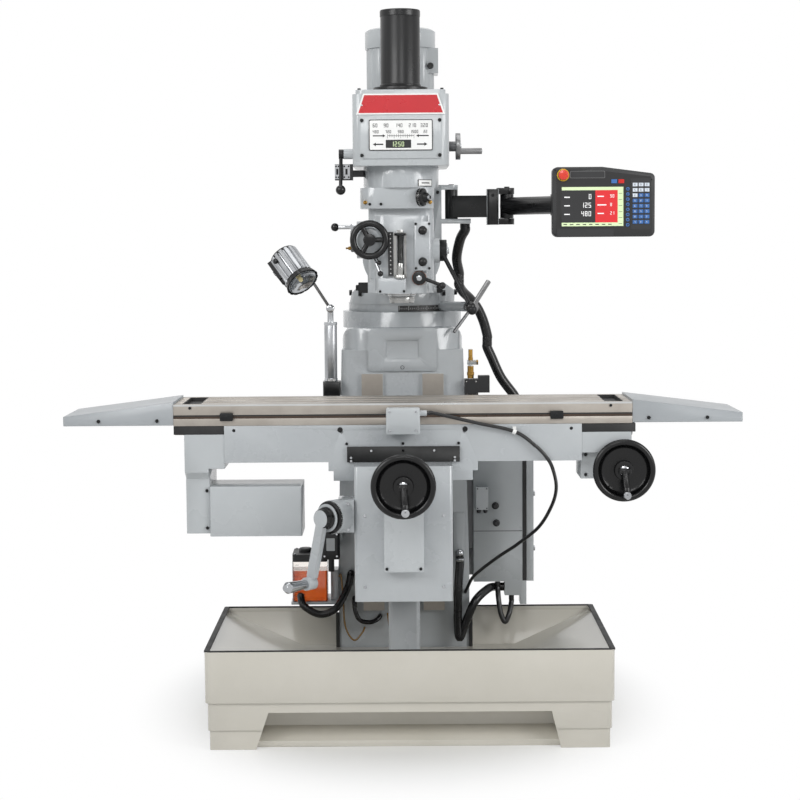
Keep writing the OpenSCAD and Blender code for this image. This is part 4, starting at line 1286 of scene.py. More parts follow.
@dataclass
class ColumnAndServices(Group):
    """Column, pedestal, electrical cabinet, oil reservoir and coolant tap."""

    tank: tuple[float, float, float, float] = (-338.0, -140.0, -232.0, -20.0)
    tank_foot: float = 330.0
    tank_top: float = 452.0
    oil_level: float = 424.0
    wall: float = 3.0
    way: Span = (60.0, 124.0)
    way_heights: Span = (292.0, 1017.0)
    plug: Point = (0.0, -400.0, 1036.0)
    glands: Spots = ((281, 608), (284, 555))
    box_screws: Spots = ((226, 604), (254, 604), (226, 664), (254, 664))
    hinges: tuple[float, ...] = (470, 640, 812)
    tap_screws: Spots = ((193, 956), (222, 956), (193, 994), (222, 994))
    pump_screws: Spots = ((-237, 480), (-200, 480), (-237, 546), (-200, 546))
    solids: ClassVar = {
        "column": (CAST_ENAMEL, 3.0), "screw_pedestal": (CAST_ENAMEL, 2.0),
        "cabinet": (SHEET_ENAMEL, 1.6), "cabinet_door": (SHEET_ENAMEL, 2.4),
        "service_fittings": (SHEET_ENAMEL, 0.8), "limit_switch": (TEXTURED_ABS, 1.2),
        "lamp_base": (BLACK_ENAMEL, 1.5),
    }

    def build(self) -> None:
        """Adds the ways, the cabinet's fittings, the reservoir and the tap."""
        self._column()
        self._cabinet()
        self._reservoir()
        self._tap()

    def _column(self) -> None:
        """Adds ground strips on the ways and the plugged hole above them."""
        form = Form().paint(GROUND_IRON)
        for side in BOTH_SIDES:
            form.block(limits(side, *self.way), (-92.15, -90), self.way_heights, 0.1)
        form.paint(BLACK_OXIDE)
        form.turned(land("column", self.plug, TO_BACK), TO_FRONT,
                    [(6, -1), (6, 0.4), (4.6, 0.8), (4.4, -0.6)], 24)
        form.done("column_ways", "base", "ground_iron")

    def _cabinet(self) -> None:
        """Adds the door's seal, the seam, glands and the grey terminal box."""
        form = Form().paint(NITRILE)
        form.block((364, 375.6), (-60.9, -56), (376, 897), 0.5)
        form.paint(INK_BLACK).block((214.5, 363), (-60.25, -59), (529, 531))
        form.paint(CAST_ENAMEL)
        form.block((221.4, 258.6), (-86.8, -59), (599.4, 668.6), 3)
        form.block((226, 254), (-87.8, -86), (606, 662), 1.2)
        form.paint(SHEET_ENAMEL)
        form.block((186, 216), (30, 56), (379, 894), 1.5)
        form.paint(TEXTURED_ABS)
        for x, z in self.glands:
            form.turned((x, -60, z), TO_FRONT,
                        [(11, -1), (11, 3), (8.5, 4), (8.5, 13), (6, 16)], 18)
        for x in (230, 250):
            form.turned((x, -73, 600), DOWN, [(7, -1), (7, 6), (5, 12)], 12)
        form.paint(BLACK_OXIDE)
        for x, z in self.box_screws:
            form.cap_screw((x, -87, z), TO_FRONT, 2)
        form.paint(CHROMED_STEEL)
        for z in self.hinges:
            form.turned((398, -20, z), RIGHT, [(12, -1), (12, 2), (8, 3), (8, 6), (7, 7)], 24)
        form.done("cabinet_fittings", "base", "black_plastic")

    def _reservoir(self) -> None:
        """Builds the clear tank, the oil in it, its lid and its filler cap."""
        x0, y0, x1, y1 = self.tank
        w = self.wall
        form = Form().paint(CLEAR_TANK)
        form.prism(rounded(x0, y0, x1, y1, 8), self.tank_foot + 0.4, self.tank_top, edge=1)
        form.paint(SLIDEWAY_OIL)
        form.prism(rounded(x0 + w, y0 + w, x1 - w, y1 - w, 6), self.tank_foot + w, self.oil_level)
        form.paint(TEXTURED_ABS)
        form.prism(rounded(x0 + 0.4, y0 + 0.4, x1 - 0.4, y1 - 0.4, 9), self.tank_top,
                   self.tank_top + 22, edge=2.5)
        form.turned((-300, -80, 474), UP, [(20, -1), (20, 9), (17, 12)], 40,
                    lobes=lambda i: 1.0 if i % 4 < 2 else 0.95)
        form.block((-272, -244), (-112, -48), (473, 482), 2)
        form.paint(CHROMED_STEEL)
        for x, y in ((x0 + 8, y0 + 8), (x1 - 8, y0 + 8), (x0 + 8, y1 - 8), (x1 - 8, y1 - 8)):
            form.cap_screw((x, y, 474), UP, 3)
        form.paint(INK_BLACK)
        for z in range(346, 446, 12):
            form.block((-330, -318 if z % 24 else -310), (y0 - 0.2, y0 + 0.4), (z, z + 1))
        form.done("oil_reservoir", "base", "clear_oil_tank", ("reservoir",))

    def _tap(self) -> None:
        """Adds the brass coolant tap and the black boxes round it."""
        form = Form().paint(BRASS)
        form.turned((206, -88, 1002), UP,
                    [(9.6, 0), (9.6, 8), (11, 9), (11, 18), (9.4, 19), (9.4, 37)], 24)
        form.turned((206, -88, 1056), UP, [(7.4, 0), (7.4, 8), (6.5, 9), (6.5, 33)], 20)
        form.turned((229, -88, 1050), LEFT, [(8, 0), (8, 6), (7.4, 8), (7.4, 30)], 6)
        form.paint(TEXTURED_ABS)
        form.block((187.2, 228.2), (-110.6, -68), (950, 1000.4), 3)
        form.block((228.2, 262.6), (-110.6, -73.6), (959.6, 1010.4), 2.4)
        form.paint(CHROMED_STEEL)
        form.ball((170, -112, 471), 13.4, 28)
        form.turned((170, -118.5, 470), TO_BACK, [(12, 2), (12, 8), (10, 10), (10, 32)], 24)
        form.turned((170, -112, 447), UP, [(14.4, 0), (15, 1), (15, 8), (12, 10)], 32)
        for x, z in self.tap_screws:
            form.cap_screw((x, -110.6, z), TO_FRONT, 2.4)
        for x, z in self.pump_screws:
            form.cap_screw((x, -205, z), TO_FRONT, 3)
        form.paint(SHEET_ENAMEL)
        form.prism(rounded(-231, 496, -206, 534, 2), -206, -204.5, Face.FRONT, 0.3)
        form.paint(CHROMED_STEEL)
        form.turned((-218, -178, 557), UP, [(9, 0), (9, 4), (6, 5), (6, 22)], 20)
        form.done("coolant_tap", "base", "black_plastic")


@dataclass
class KneeGroup(Group):
    """Knee with its cover, crank, dial and the cross handwheel."""

    crank_at: Point = (-168.0, -688.0, 674.7)
    crank_way: Point = (-0.643, -0.766, 0.0)
    wheel_at: Point = (0.0, -821.0, 772.0)
    cover_screws: Spots = ((-46, 534), (46, 534))
    front_screws: Spots = ((-106, 674), (109, 674), (-106, 478), (109, 478))
    housing_screws: Spots = ((-150, 640), (-150, 709))
    marks: int = 50
    solids: ClassVar = {
        "knee": (CAST_ENAMEL, 3.5), "knee_cover": (SHEET_ENAMEL, 1.6),
        "crank_housing": (CAST_ENAMEL, 2.0), "knee_crank": (CAST_ENAMEL, 2.0),
        "knee_crank_grip": (CHROMED_STEEL, 1.0), "knee_screw": (TURNED_STEEL, 0.0),
        "y_handwheel": (PHENOLIC, 1.2), "y_handle": (PHENOLIC, 1.2),
    }

    def build(self) -> None:
        """Adds bolts, both dials and the handwheel's bright fittings."""
        form = Form().paint(BLACK_OXIDE)
        seat_screws(form, "knee_cover", self.cover_screws, 4.2)
        form.paint(CHROMED_STEEL)
        seat_screws(form, "knee", self.front_screws, 3.8, 2.4)
        seat_screws(form, "crank_housing", self.housing_screws, 4)
        form.paint(PHENOLIC)
        way = Vector(self.crank_way).normalized()
        form.turned(self.crank_at, self.crank_way,
                    [(44, 45.6), (44.6, 46.2), (44.6, 52), (39, 54), (39, 60.5), (31, 61.8)], 72)
        form.paint(TURNED_STEEL)
        form.turned((0, -800, 772), TO_FRONT, [(27.2, 0), (28, 1), (28, 15), (27, 17)], 64)
        form.paint(INK_BLACK)
        ticks(form, (0, -802, 772), TO_FRONT, 28.1, 6, self.marks)
        form.paint(SIGN_WHITE)
        edge = tuple(Vector(self.crank_at) + way * 46.6)
        ticks(form, edge, self.crank_way, 44.8, 2.4, self.marks)
        form.done("knee_fittings", "knee", "bright_steel")
        sleeve = Form().paint(PHENOLIC)
        sleeve.turned(self.crank_at, self.crank_way,
                      [(23.8, 63.6), (31, 64), (29, 72), (26.4, 73), (25.4, 86), (23.8, 86.4)], 48)
        sleeve.done("crank_sleeve", "knee_crank", "black_plastic")
        handwheel_caps(self.wheel_at, "y_wheel", "y_grip")


@dataclass
class SaddleGroup(Group):
    """Saddle with its wiper, drive boxes and the long-travel handwheel."""

    wheel_at: Point = (611.0, -585.0, 782.0)
    plug_height: float = 899.0
    end_plugs: tuple[float, ...] = (-468, 466)
    middle_plugs: tuple[float, ...] = (-174, 172)
    front_screws: Spots = ((-156, 860), (0, 860), (154, 860))
    motor_screws: Spots = ((-548, 728), (-548, 623))
    block_screws: Spots = ((508, 766), (508, 822), (630, 822))
    wiper_face: float = -598.0
    wiper_screws: Spots = (
        (-144, 822), (-88, 841), (0, 841), (86, 841), (143, 822), (-144, 813), (143, 813),
    )
    switch_screws: Spots = ((-36, 900), (36, 900), (-36, 952), (36, 952))
    marks: int = 50
    solids: ClassVar = {
        "saddle": (CAST_ENAMEL, 2.5), "saddle_wiper": (NITRILE, 1.0),
        "limit_box": (SHEET_ENAMEL, 2.0), "x_drive_cover": (SHEET_ENAMEL, 2.0),
        "x_motor": (SHEET_ENAMEL, 2.5), "x_drive_block": (SHEET_ENAMEL, 3.0),
        "x_handwheel": (PHENOLIC, 1.2), "x_handle": (PHENOLIC, 1.2),
    }

    def build(self) -> None:
        """Adds plugs, screws, the bearing cap and the handwheel's bright fittings."""
        form = Form().paint(BLACK_OXIDE)
        for x in self.end_plugs:
            form.turned(front_of("saddle", x, self.plug_height), TO_FRONT,
                        [(4.6, -1), (4.6, 0.3), (3.4, 0.7)], 20)
        for x in self.middle_plugs:
            form.turned(front_of("saddle", x, self.plug_height), TO_FRONT,
                        [(7.4, -1), (7.4, 0.3), (5.6, 0.7)], 28)
        seat_screws(form, "saddle", self.front_screws, 4)
        seat_screws(form, "x_drive_cover", self.motor_screws, 4.5)
        seat_screws(form, "x_drive_block", self.block_screws, 4.5)
        form.turned((633, -492, 891), RIGHT, [(25, -1), (25, 9), (22, 12), (12, 12.6)], 40)
        form.paint(CHROMED_STEEL)
        for x, z in self.wiper_screws:
            form.cap_screw((x, self.wiper_face, z), TO_FRONT, 3.6)
        seat_screws(form, "limit_box", self.switch_screws, 2.6)
        form.paint(SIGN_WHITE)
        form.turned((303, -602.4, 893.6), (0.92, 0, -0.38),
                    [(7, 0), (7.4, 1), (7.4, 9), (7, 10)], 24)
        form.block((303, 313), (-604, -590), (899, 905), 1)
        form.paint(TURNED_STEEL)
        x, y, z = self.wheel_at
        form.turned((x, y + 2, z), TO_BACK, [(31, 3), (31.4, 4), (31.4, 14), (30.6, 15)], 64)
        form.paint(INK_BLACK)
        ticks(form, (x, y + 7, z), TO_BACK, 31.5, 5, self.marks)
        form.done("saddle_fittings", "saddle", "bright_steel")
        handwheel_caps(self.wheel_at, "x_wheel", "x_grip")


@dataclass
class TableGroup(Group):
    """Table with its guards and trip dogs."""

    half: float = 634.6
    trough: Span = (561.5, 610.5)
    lip_screws: Spots = ((-589, 962), (575, 962))
    dog_screws: Spots = ((-488, 937), (425, 937))
    guard_screws: Spots = ((-842, 927), (842, 927), (-680, 927), (680, 927))
    # The end guards' enamel is painted darker than the saddle's: painted shade.
    solids: ClassVar = {
        "table": (GROUND_IRON, 0.8), "end_guards": (SHADED_GUARD_ENAMEL, 1.6),
        "trip_dogs": (BLACK_OXIDE, 0.6),
    }

    def build(self) -> None:
        """Adds painted shade in the troughs and the groove, a painted highlight on the lip, and
        screws.
        """
        form = Form().paint(NITRILE)
        # Dark sheets on the troughs' floors and walls: painted shade in the recesses.
        for side in BOTH_SIDES:
            low, high = limits(side, *self.trough)
            form.prism(rounded(low, -572, high, -354, 6), 959.6, 961, edge=0.4)
            form.block((low, high), (-354.6, -352.2), (960, 971.7))
            form.block((low - 0.8, low + 1), (-573, -353), (960, 971.7))
            form.block((high - 1, high + 0.8), (-573, -353), (960, 971.7))
        long = (-self.half, self.half)
        # A black strip in the groove's upper half: painted shade.
        form.block(long, (-588.2, -584), (938.2, 942.1))
        # The groove's lower half: painted shade and a painted brown reflection.
        form.paint(GROOVE_SHADE_IRON)
        form.block(long, (-588.6, -584), (931.9, 938.3))
        # A pale strip along the top's front lip: painted highlight.
        form.paint(PAINTED_HIGHLIGHT_IRON)
        form.block(long, (-590.5, -588), (966.8, 971.6), 0.6)
        form.paint(BLACK_OXIDE)
        for x, z in self.lip_screws:
            form.cap_screw((x, -590, z), TO_FRONT, 4)
        seat_screws(form, "trip_dogs", self.dog_screws, 4, 1.0)
        seat_screws(form, "end_guards", self.guard_screws, 5)
        form.done("table_fittings", "table", "black_paint")


@dataclass
class OverarmGroup(Group):
    """Turret with its degree scale, ram and the head's adapter."""

    middle: Span = (0.0, 180.0)
    disc: float = 168.0
    marks: int = 38
    scale_start: float = -93.0
    degrees_a_mark: float = 2.0
    clamp_bolts: Spots = ((60, 1256), (140, 1256))
    ear_screws: Spots = ((108, 1410), (108, 1560))
    solids: ClassVar = {
        "turret": (CAST_ENAMEL, 3.5), "ram": (CAST_ENAMEL, 3.5),
        "head_adapter": (CAST_ENAMEL, 3.0), "ram_handle": (SATIN_STEEL, 1.0),
    }

    def build(self) -> None:
        """Adds the scale, the clamp bolts and the pivot bolts."""
        cx, cy = self.middle
        form = Form().paint(INK_BLACK)
        r = self.disc
        form.prism(arc(cx, cy, r + 0.9, -94, -18, 30) + arc(cx, cy, r - 0.6, -18, -94, 30),
                   1200, 1219)
        form.paint(SIGN_WHITE)
        for k in range(self.marks):
            a = math.radians(self.scale_start + self.degrees_a_mark * k)
            x, y = cx + (r + 1.0) * math.cos(a), cy + (r + 1.0) * math.sin(a)
            low, high = (1205, 1218) if k % 5 == 0 else (1208, 1212)
            form.rod((x, y, low), (x, y, high), 0.5, steps=4)
        form.paint(BLACK_OXIDE)
        for y, z in self.clamp_bolts:
            form.hex_bolt(land("turret", (400, y, z), LEFT), RIGHT, 9, 9)
            form.hex_bolt(land("turret", (-400, y, z), RIGHT), LEFT, 9, 9)
        form.done("turret_scale", "turret", "black_paint")
        ram = Form().paint(BLACK_OXIDE)
        for side in BOTH_SIDES:
            ram.hex_bolt((side * 100, -262, 1375), (side, 0, 0), 17, 13)
        for x, z in self.ear_screws:
            ram.cap_screw(land("ram", (x, -600, z), TO_BACK), TO_FRONT, 5)
        ram.done("ram_bolts", "ram", "black_paint")


@dataclass
class Head(Group):
    """Milling head: casting, belt housing, signs, motor and depth stop."""

    at: Point = (0.0, -463.0, 1375.0)
    sign_low: float = 387.0
    sign_high: float = 443.0
    chart_upper: tuple[tuple[float, str], ...] = (
        (-76, "60"), (-46, "90"), (-15, "140"), (22, "210"), (54, "320"),
    )
    chart_lower: tuple[tuple[float, str], ...] = (
        (-76, "480"), (-42, "720"), (-8, "980"), (26, "1500"), (62, "22"),
    )
    housing_screws: Spots = ((-106, 276), (-106, 371), (106, 276), (106, 371))
    lid_screws: Spots = ((113, -120), (113, 60), (102, 208))
    plate_screws: Spots = ((-87, 145), (-56, 145))
    cover_screws: Spots = ((39, -32), (76, -32), (39, 90), (76, 90), (-60, -95), (6, -95))
    oil_cups: Spots = ((-100, 150), (80, 150))
    clamp_plate: float = 105.0
    thread_turns: int = 31
    thread_pitch: float = 3.0
    solids: ClassVar = {
        "head_casting": (CAST_ENAMEL, 2.5), "belt_housing": (SHEET_ENAMEL, 5.0),
        "motor": (SHEET_ENAMEL, 2.5), "drawbar_cover": (BLACK_ENAMEL, 3.0),
        "head_fittings": (TURNED_STEEL, 0.6), "head_switch": (TEXTURED_ABS, 2.0),
    }

    def place(self) -> Matrix:
        """Gives the frame of the head's own measures."""
        return Matrix.Translation(Vector(self.at))

    def front(self, node: str, x: float, z: float) -> Point:
        """Finds the point on a solid's front, in the head's own measures.

        Args:
            node: The solid's name.
            x: Place across the head.
            z: Height on the head.

        Returns:
            The point.
        """
        ax, ay, az = self.at
        hit = front_of(node, ax + x, az + z)
        return (hit[0] - ax, hit[1] - ay, hit[2] - az)

    def build(self) -> None:
        """Adds the signs, the housing's screws, the scale, the dial and the motor's cowl."""
        self._signs()
        self._housing()
        self._casting()

    def _signs(self) -> None:
        """Builds the bare red sign and the speed chart with plain arrows and numbers."""
        form = Form(self.place()).paint(SIGN_WHITE)
        lo, hi = self.sign_low, self.sign_high
        form.prism([(-121, lo), (121, lo), (102, hi), (-102, hi)], -140.8, -136.8, Face.FRONT, 0.5)
        form.paint(SIGN_RED)
        form.prism([(-115, lo + 4), (115, lo + 4), (98.6, hi - 4), (-98.6, hi - 4)],
                   -141.2, -140.5, Face.FRONT)
        form.paint(CHROMED_STEEL)
        for x in (-106, 106):
            form.ball((x, -141, 412), 3, 16, 0.5, TO_BACK)
        form.paint(INK_BLACK)
        form.prism(rounded(-87, 289, 87, 373, 4), -144.4, -141.8, Face.FRONT, 0.4)
        form.paint(SIGN_WHITE)
        form.prism(rounded(-84.6, 291.4, 84.6, 370.6, 3), -144.8, -144.2, Face.FRONT)
        form.paint(INK_BLACK)
        form.prism(rounded(-41, 296, 28, 318, 1), -145.2, -144.7, Face.FRONT)
        form.paint(SCREEN_PALE)
        figures(form, "1250", -26, -145.3, 300, 13)
        form.paint(INK_BLACK)
        for x, text in self.chart_upper:
            figures(form, text, x, -144.9, 352, 10)
        for x, text in self.chart_lower:
            figures(form, text, x, -144.9, 336, 8)
        arrow(form, -76, -144.9, 329, 34, 7)
        arrow(form, 76, -144.9, 329, -34, 7)
        arrow(form, -48, -144.9, 306, -28, 8)
        arrow(form, 44, -144.9, 306, 28, 8)
        form.block((-36, 36), (-145.1, -144.7), (328.4, 329.6))
        for k in range(13):
            form.block((-36 + 6 * k - 0.4, -36 + 6 * k + 0.4), (-145.1, -144.7),
                       (325 if k % 3 else 322, 333))
        form.done("head_signs", "head", "sign_plate", ("front_plates",))

    def _housing(self) -> None:
        """Adds screws, the lid's seam, the motor's ribbed cowl and its cable gland."""
        form = Form(self.place()).paint(BLACK_OXIDE)
        for x, z in self.housing_screws:
            form.cap_screw(self.front("belt_housing", x, z), TO_FRONT, 5)
        for side in BOTH_SIDES:
            for x, y in self.lid_screws:
                form.cap_screw((side * x, y, 455), UP, 4.6)
        form.paint(SHEET_ENAMEL)
        form.turned((0, 176, 470), UP,
                    [(96, 0), (97, 2), (97, 118), (96, 120)], 96,
                    lobes=lambda i: 1.0 if i % 4 < 2 else 0.965)
        form.turned((0, 176, 604), UP, [(95.4, 0), (98, 2), (98, 38), (90, 42.6)], 64)
        form.block((62, 108), (120, 230), (520, 590), 6)
        form.paint(BLACK_ENAMEL)
        form.turned((0, 0, 470), UP, [(57, -2), (58, 0), (58, 6), (55.4, 8)], 64)
        form.turned((0, 0, 664), UP, [(55.4, 0), (56.2, 1), (56.2, 15), (50, 17.8)], 64)
        form.turned((86, 118, 540), TO_FRONT, [(9, -2), (9, 8), (7, 14)], 18)
        form.done("head_housing_fittings", "head", "grey_sheet")

    def _casting(self) -> None:
        """Adds the depth scale, knurled nut, ball knobs, dial, plate and oil cups."""
        form = Form(self.place()).paint(INK_BLACK)
        form.block((-37.4, -23.6), (-96.8, -95.4), (-52, 68), 0.3)
        form.paint(SIGN_WHITE)
        for k in range(10):
            form.turned((-30.5, -96.7, -46 + 12 * k), TO_FRONT, [(1.8, 0), (1.5, 0.4)], 12)
        form.paint(TURNED_STEEL)
        form.turned((-4, -107, -59.4), UP, [(15.4, 0), (16.2, 1), (16.2, 8.6), (15.4, 9.8)],
                    48, lobes=lambda i: 1.0 if i % 2 else 0.96)
        form.turned((-4, -107, -50), UP, [(9.4, 0), (9.8, 1), (9.8, 17), (9, 18)], 36)
        form.block((-22, -13.5), (-99, -90), (-58, 66), 0.8)
        form.block((7, 13), (-97, -90), (-58, 66), 0.8)
        form.paint(BLACK_OXIDE)
        for k in range(self.thread_turns):
            form.turned((-4, -107, -32 + self.thread_pitch * k), UP,
                        [(7.0, 0), (7.8, 0.9), (7.8, 1.8), (7.0, 2.7)], 24)
        form.turned((-4, -107, 58), UP, [(15, 0), (16, 1), (16, 6), (9, 8)], 32)
        self._clamps(form)
        form.paint(PHENOLIC)
        for z in (72, -14):
            form.ball((58, -122, z), 12.6, 28)
        form.ball((-59, -113, -46), 8, 24)
        form.ball((-62, -110, -16), 6.5, 24)
        form.paint(CHROMED_STEEL)
        form.rod((-76, -96, -4), (-59, -113, -46), 3.4)
        form.rod((-76, -96, 8), (-62, -110, -16), 3)
        form.turned((-76, -92, 2), TO_FRONT, [(9, -3), (9, 3), (7, 5)], 24)
        form.paint(INK_BLACK)
        r = self.clamp_plate
        form.prism(arc(0, 0, r + 1.6, -64, -37, 8) + arc(0, 0, r - 0.5, -37, -64, 8), 193, 212)
        form.paint(SIGN_WHITE)
        form.prism(arc(0, 0, r + 1.9, -62.8, -38.2, 8) + arc(0, 0, r + 1.2, -38.2, -62.8, 8),
                   195, 210)
        form.paint(INK_BLACK)
        form.prism(arc(0, 0, r + 2.1, -58, -43, 6) + arc(0, 0, r + 1.6, -43, -58, 6), 201, 204)
        self._dial(form)
        form.paint(BLACK_OXIDE)
        for x, z in self.plate_screws:
            form.cap_screw(self.front("head_casting", x, z), TO_FRONT, 4)
        for x, z in self.cover_screws:
            form.cap_screw(self.front("head_casting", x, z), TO_FRONT, 3.6)
        form.paint(BRASS)
        for x, z in self.oil_cups:
            foot = self.front("head_casting", x, z)
            form.turned(foot, TO_FRONT, [(5.5, -1), (5.5, 4), (4, 5), (4, 11), (2.4, 13)], 18)
        form.done("head_details", "head", "bright_steel")

    def _clamps(self, form: Form) -> None:
        """Adds the black clamp bolts, the feed drum and the switch's contact plates.

        Args:
            form: Form that takes them.
        """
        form.block((-121.6, -95), (-50.6, 30), (-100.6, -73), 3)
        for y in (-34, 8):
            form.hex_bolt((-121, y, -87), LEFT, 8, 8)
        form.turned((112, -20, -93), RIGHT, [(11, -14), (11, 0), (9, 1.6)], 6)
        form.paint(SATIN_STEEL)
        form.turned((-124, -10, 44), LEFT, [(31, 0), (31, 16), (28, 19), (10, 19.4)], 48)
        form.paint(BRASS)
        form.turned((-142, -30, 24), (-1, -0.3, 0), [(5, 0), (5, 6), (2.5, 8), (2.5, 14)], 18)
        form.paint(CHROMED_STEEL)
        for low, high in ((-184, -170), (-161, -142)):
            form.block((low, high), (-45.6, -43.6), (216, 256), 0.4)
        form.paint(BLACK_OXIDE)
        for x in (-180.5, -173.5, -157.5, -145.5):
            for z in (221, 251):
                form.ball((x, -45.4, z), 2.6, 12, 0.5, TO_BACK)
        for x in (-177, -151.5):
            form.block((x - 3, x + 3), (-46.6, -45), (228, 244), 0.6)

    def _dial(self, form: Form) -> None:
        """Adds the black dial with its silver shaft, turned to the right.

        Args:
            form: Form that takes the dial.
        """
        foot = self.front("head_casting", 59, 163)
        way = (0.86, -0.5, 0)
        form.paint(PHENOLIC)
        form.turned(foot, way, [(25, -8), (25, 2), (23, 6), (15, 8), (13, 14), (11, 16)], 48)
        form.paint(CHROMED_STEEL)
        form.turned(foot, way, [(6.5, 10), (6.5, 22), (5, 24)], 24)
        form.paint(SIGN_WHITE)
        ticks(form, tuple(Vector(foot) + Vector(way).normalized() * -2), way, 25.1, 1.6, 30)


@dataclass
class HeadControls(Group):
    """Levers, feed handwheel, quill and spindle."""

    at: Point = Head.at
    quill_rings: tuple[float, ...] = (-109, -96, -88)
    solids: ClassVar = {
        "quill": (CHROMED_STEEL, 0.8), "spindle": (TURNED_STEEL, 0.8),
        "quill_lever": (BLACK_OXIDE, 0.8), "feed_wheel": (PHENOLIC, 1.0),
        "quill_lock": (BLACK_ENAMEL, 0.8), "brake_lever": (BLACK_ENAMEL, 0.8),
        "range_lever": (CHROMED_STEEL, 0.6), "speed_crank": (SATIN_STEEL, 1.0),
    }

    def build(self) -> None:
        """Adds rings on the quill, ball knobs, the copper ring and the wheel's cap."""
        place = Matrix.Translation(Vector(self.at))
        quill = Form(place).paint(TURNED_STEEL)
        for z in self.quill_rings:
            quill.turned((0, 0, z), UP, [(39.4, 0), (40.1, 0.8), (40.1, 3.4), (39.4, 4.2)], 64)
        quill.done("quill_rings", "quill", "bright_steel")
        spindle = Form(place).paint(BLACK_OXIDE)
        for side in BOTH_SIDES:
            spindle.block((side * 26 - 6, side * 26 + 6), (-6, 6), (-131.4, -126), 0.8)
        spindle.paint(TURNED_STEEL)
        spindle.turned((0, 0, -124), UP, [(35, 0), (35.7, 0.8), (35.7, 5), (35, 5.8)], 64)
        spindle.done("spindle_keys", "spindle", "bright_steel")
        lever = Form(place).paint(PHENOLIC)
        lever.ball((190, -92, -140), 14.8, 32)
        lever.paint(CHROMED_STEEL)
        lever.turned((125, -10, 16), RIGHT, [(22, 0), (20, 3), (10, 4), (9, 8)], 40)
        lever.done("quill_lever_ball", "quill_lever", "bright_steel")
        wheel = Form(place).paint(CHROMED_STEEL)
        wheel.turned((-88, -112, 47), TO_FRONT, [(12, 0), (12, 7.5), (8, 9.5), (5, 10)], 32)
        wheel.done("feed_wheel_cap", "feed_wheel", "bright_steel")
        lock = Form(place).paint(COPPER)
        lock.turned((48, -99, -59), TO_FRONT, [(19.4, 0), (20, 0.6), (20, 3.4), (19.4, 4)], 40)
        lock.paint(CHROMED_STEEL)
        lock.turned((48, -111.8, -59), TO_FRONT, [(8, 0), (8, 1.4), (6.6, 2)], 6)
        lock.paint(PHENOLIC).ball((112, -109, -80), 9.6, 24)
        lock.done("quill_lock_ring", "quill_lock", "black_paint")
        brake = Form(place).paint(PHENOLIC)
        brake.ball((-166, -60, 284), 4, 16)
        brake.ball((-166, -116, 184), 13.6, 28)
        brake.done("brake_ball", "brake_lever", "black_paint")
        shift = Form(place).paint(PHENOLIC)
        shift.ball((-187, 10, 83), 11.6, 28)
        shift.ball((-187, 10, 83), 11.8, 28, 0.4, RIGHT)
        shift.done("range_ball", "range_lever", "bright_steel")
        crank = Form(place).paint(CHROMED_STEEL)
        crank.turned((166.6, 30, 307), RIGHT, [(9, 0), (9, 3), (6, 4)], 24)
        crank.turned((226.4, 12, 293), RIGHT, [(5, -1), (5, 1), (3, 2)], 16)
        crank.done("speed_crank_cap", "speed_crank", "black_plastic")


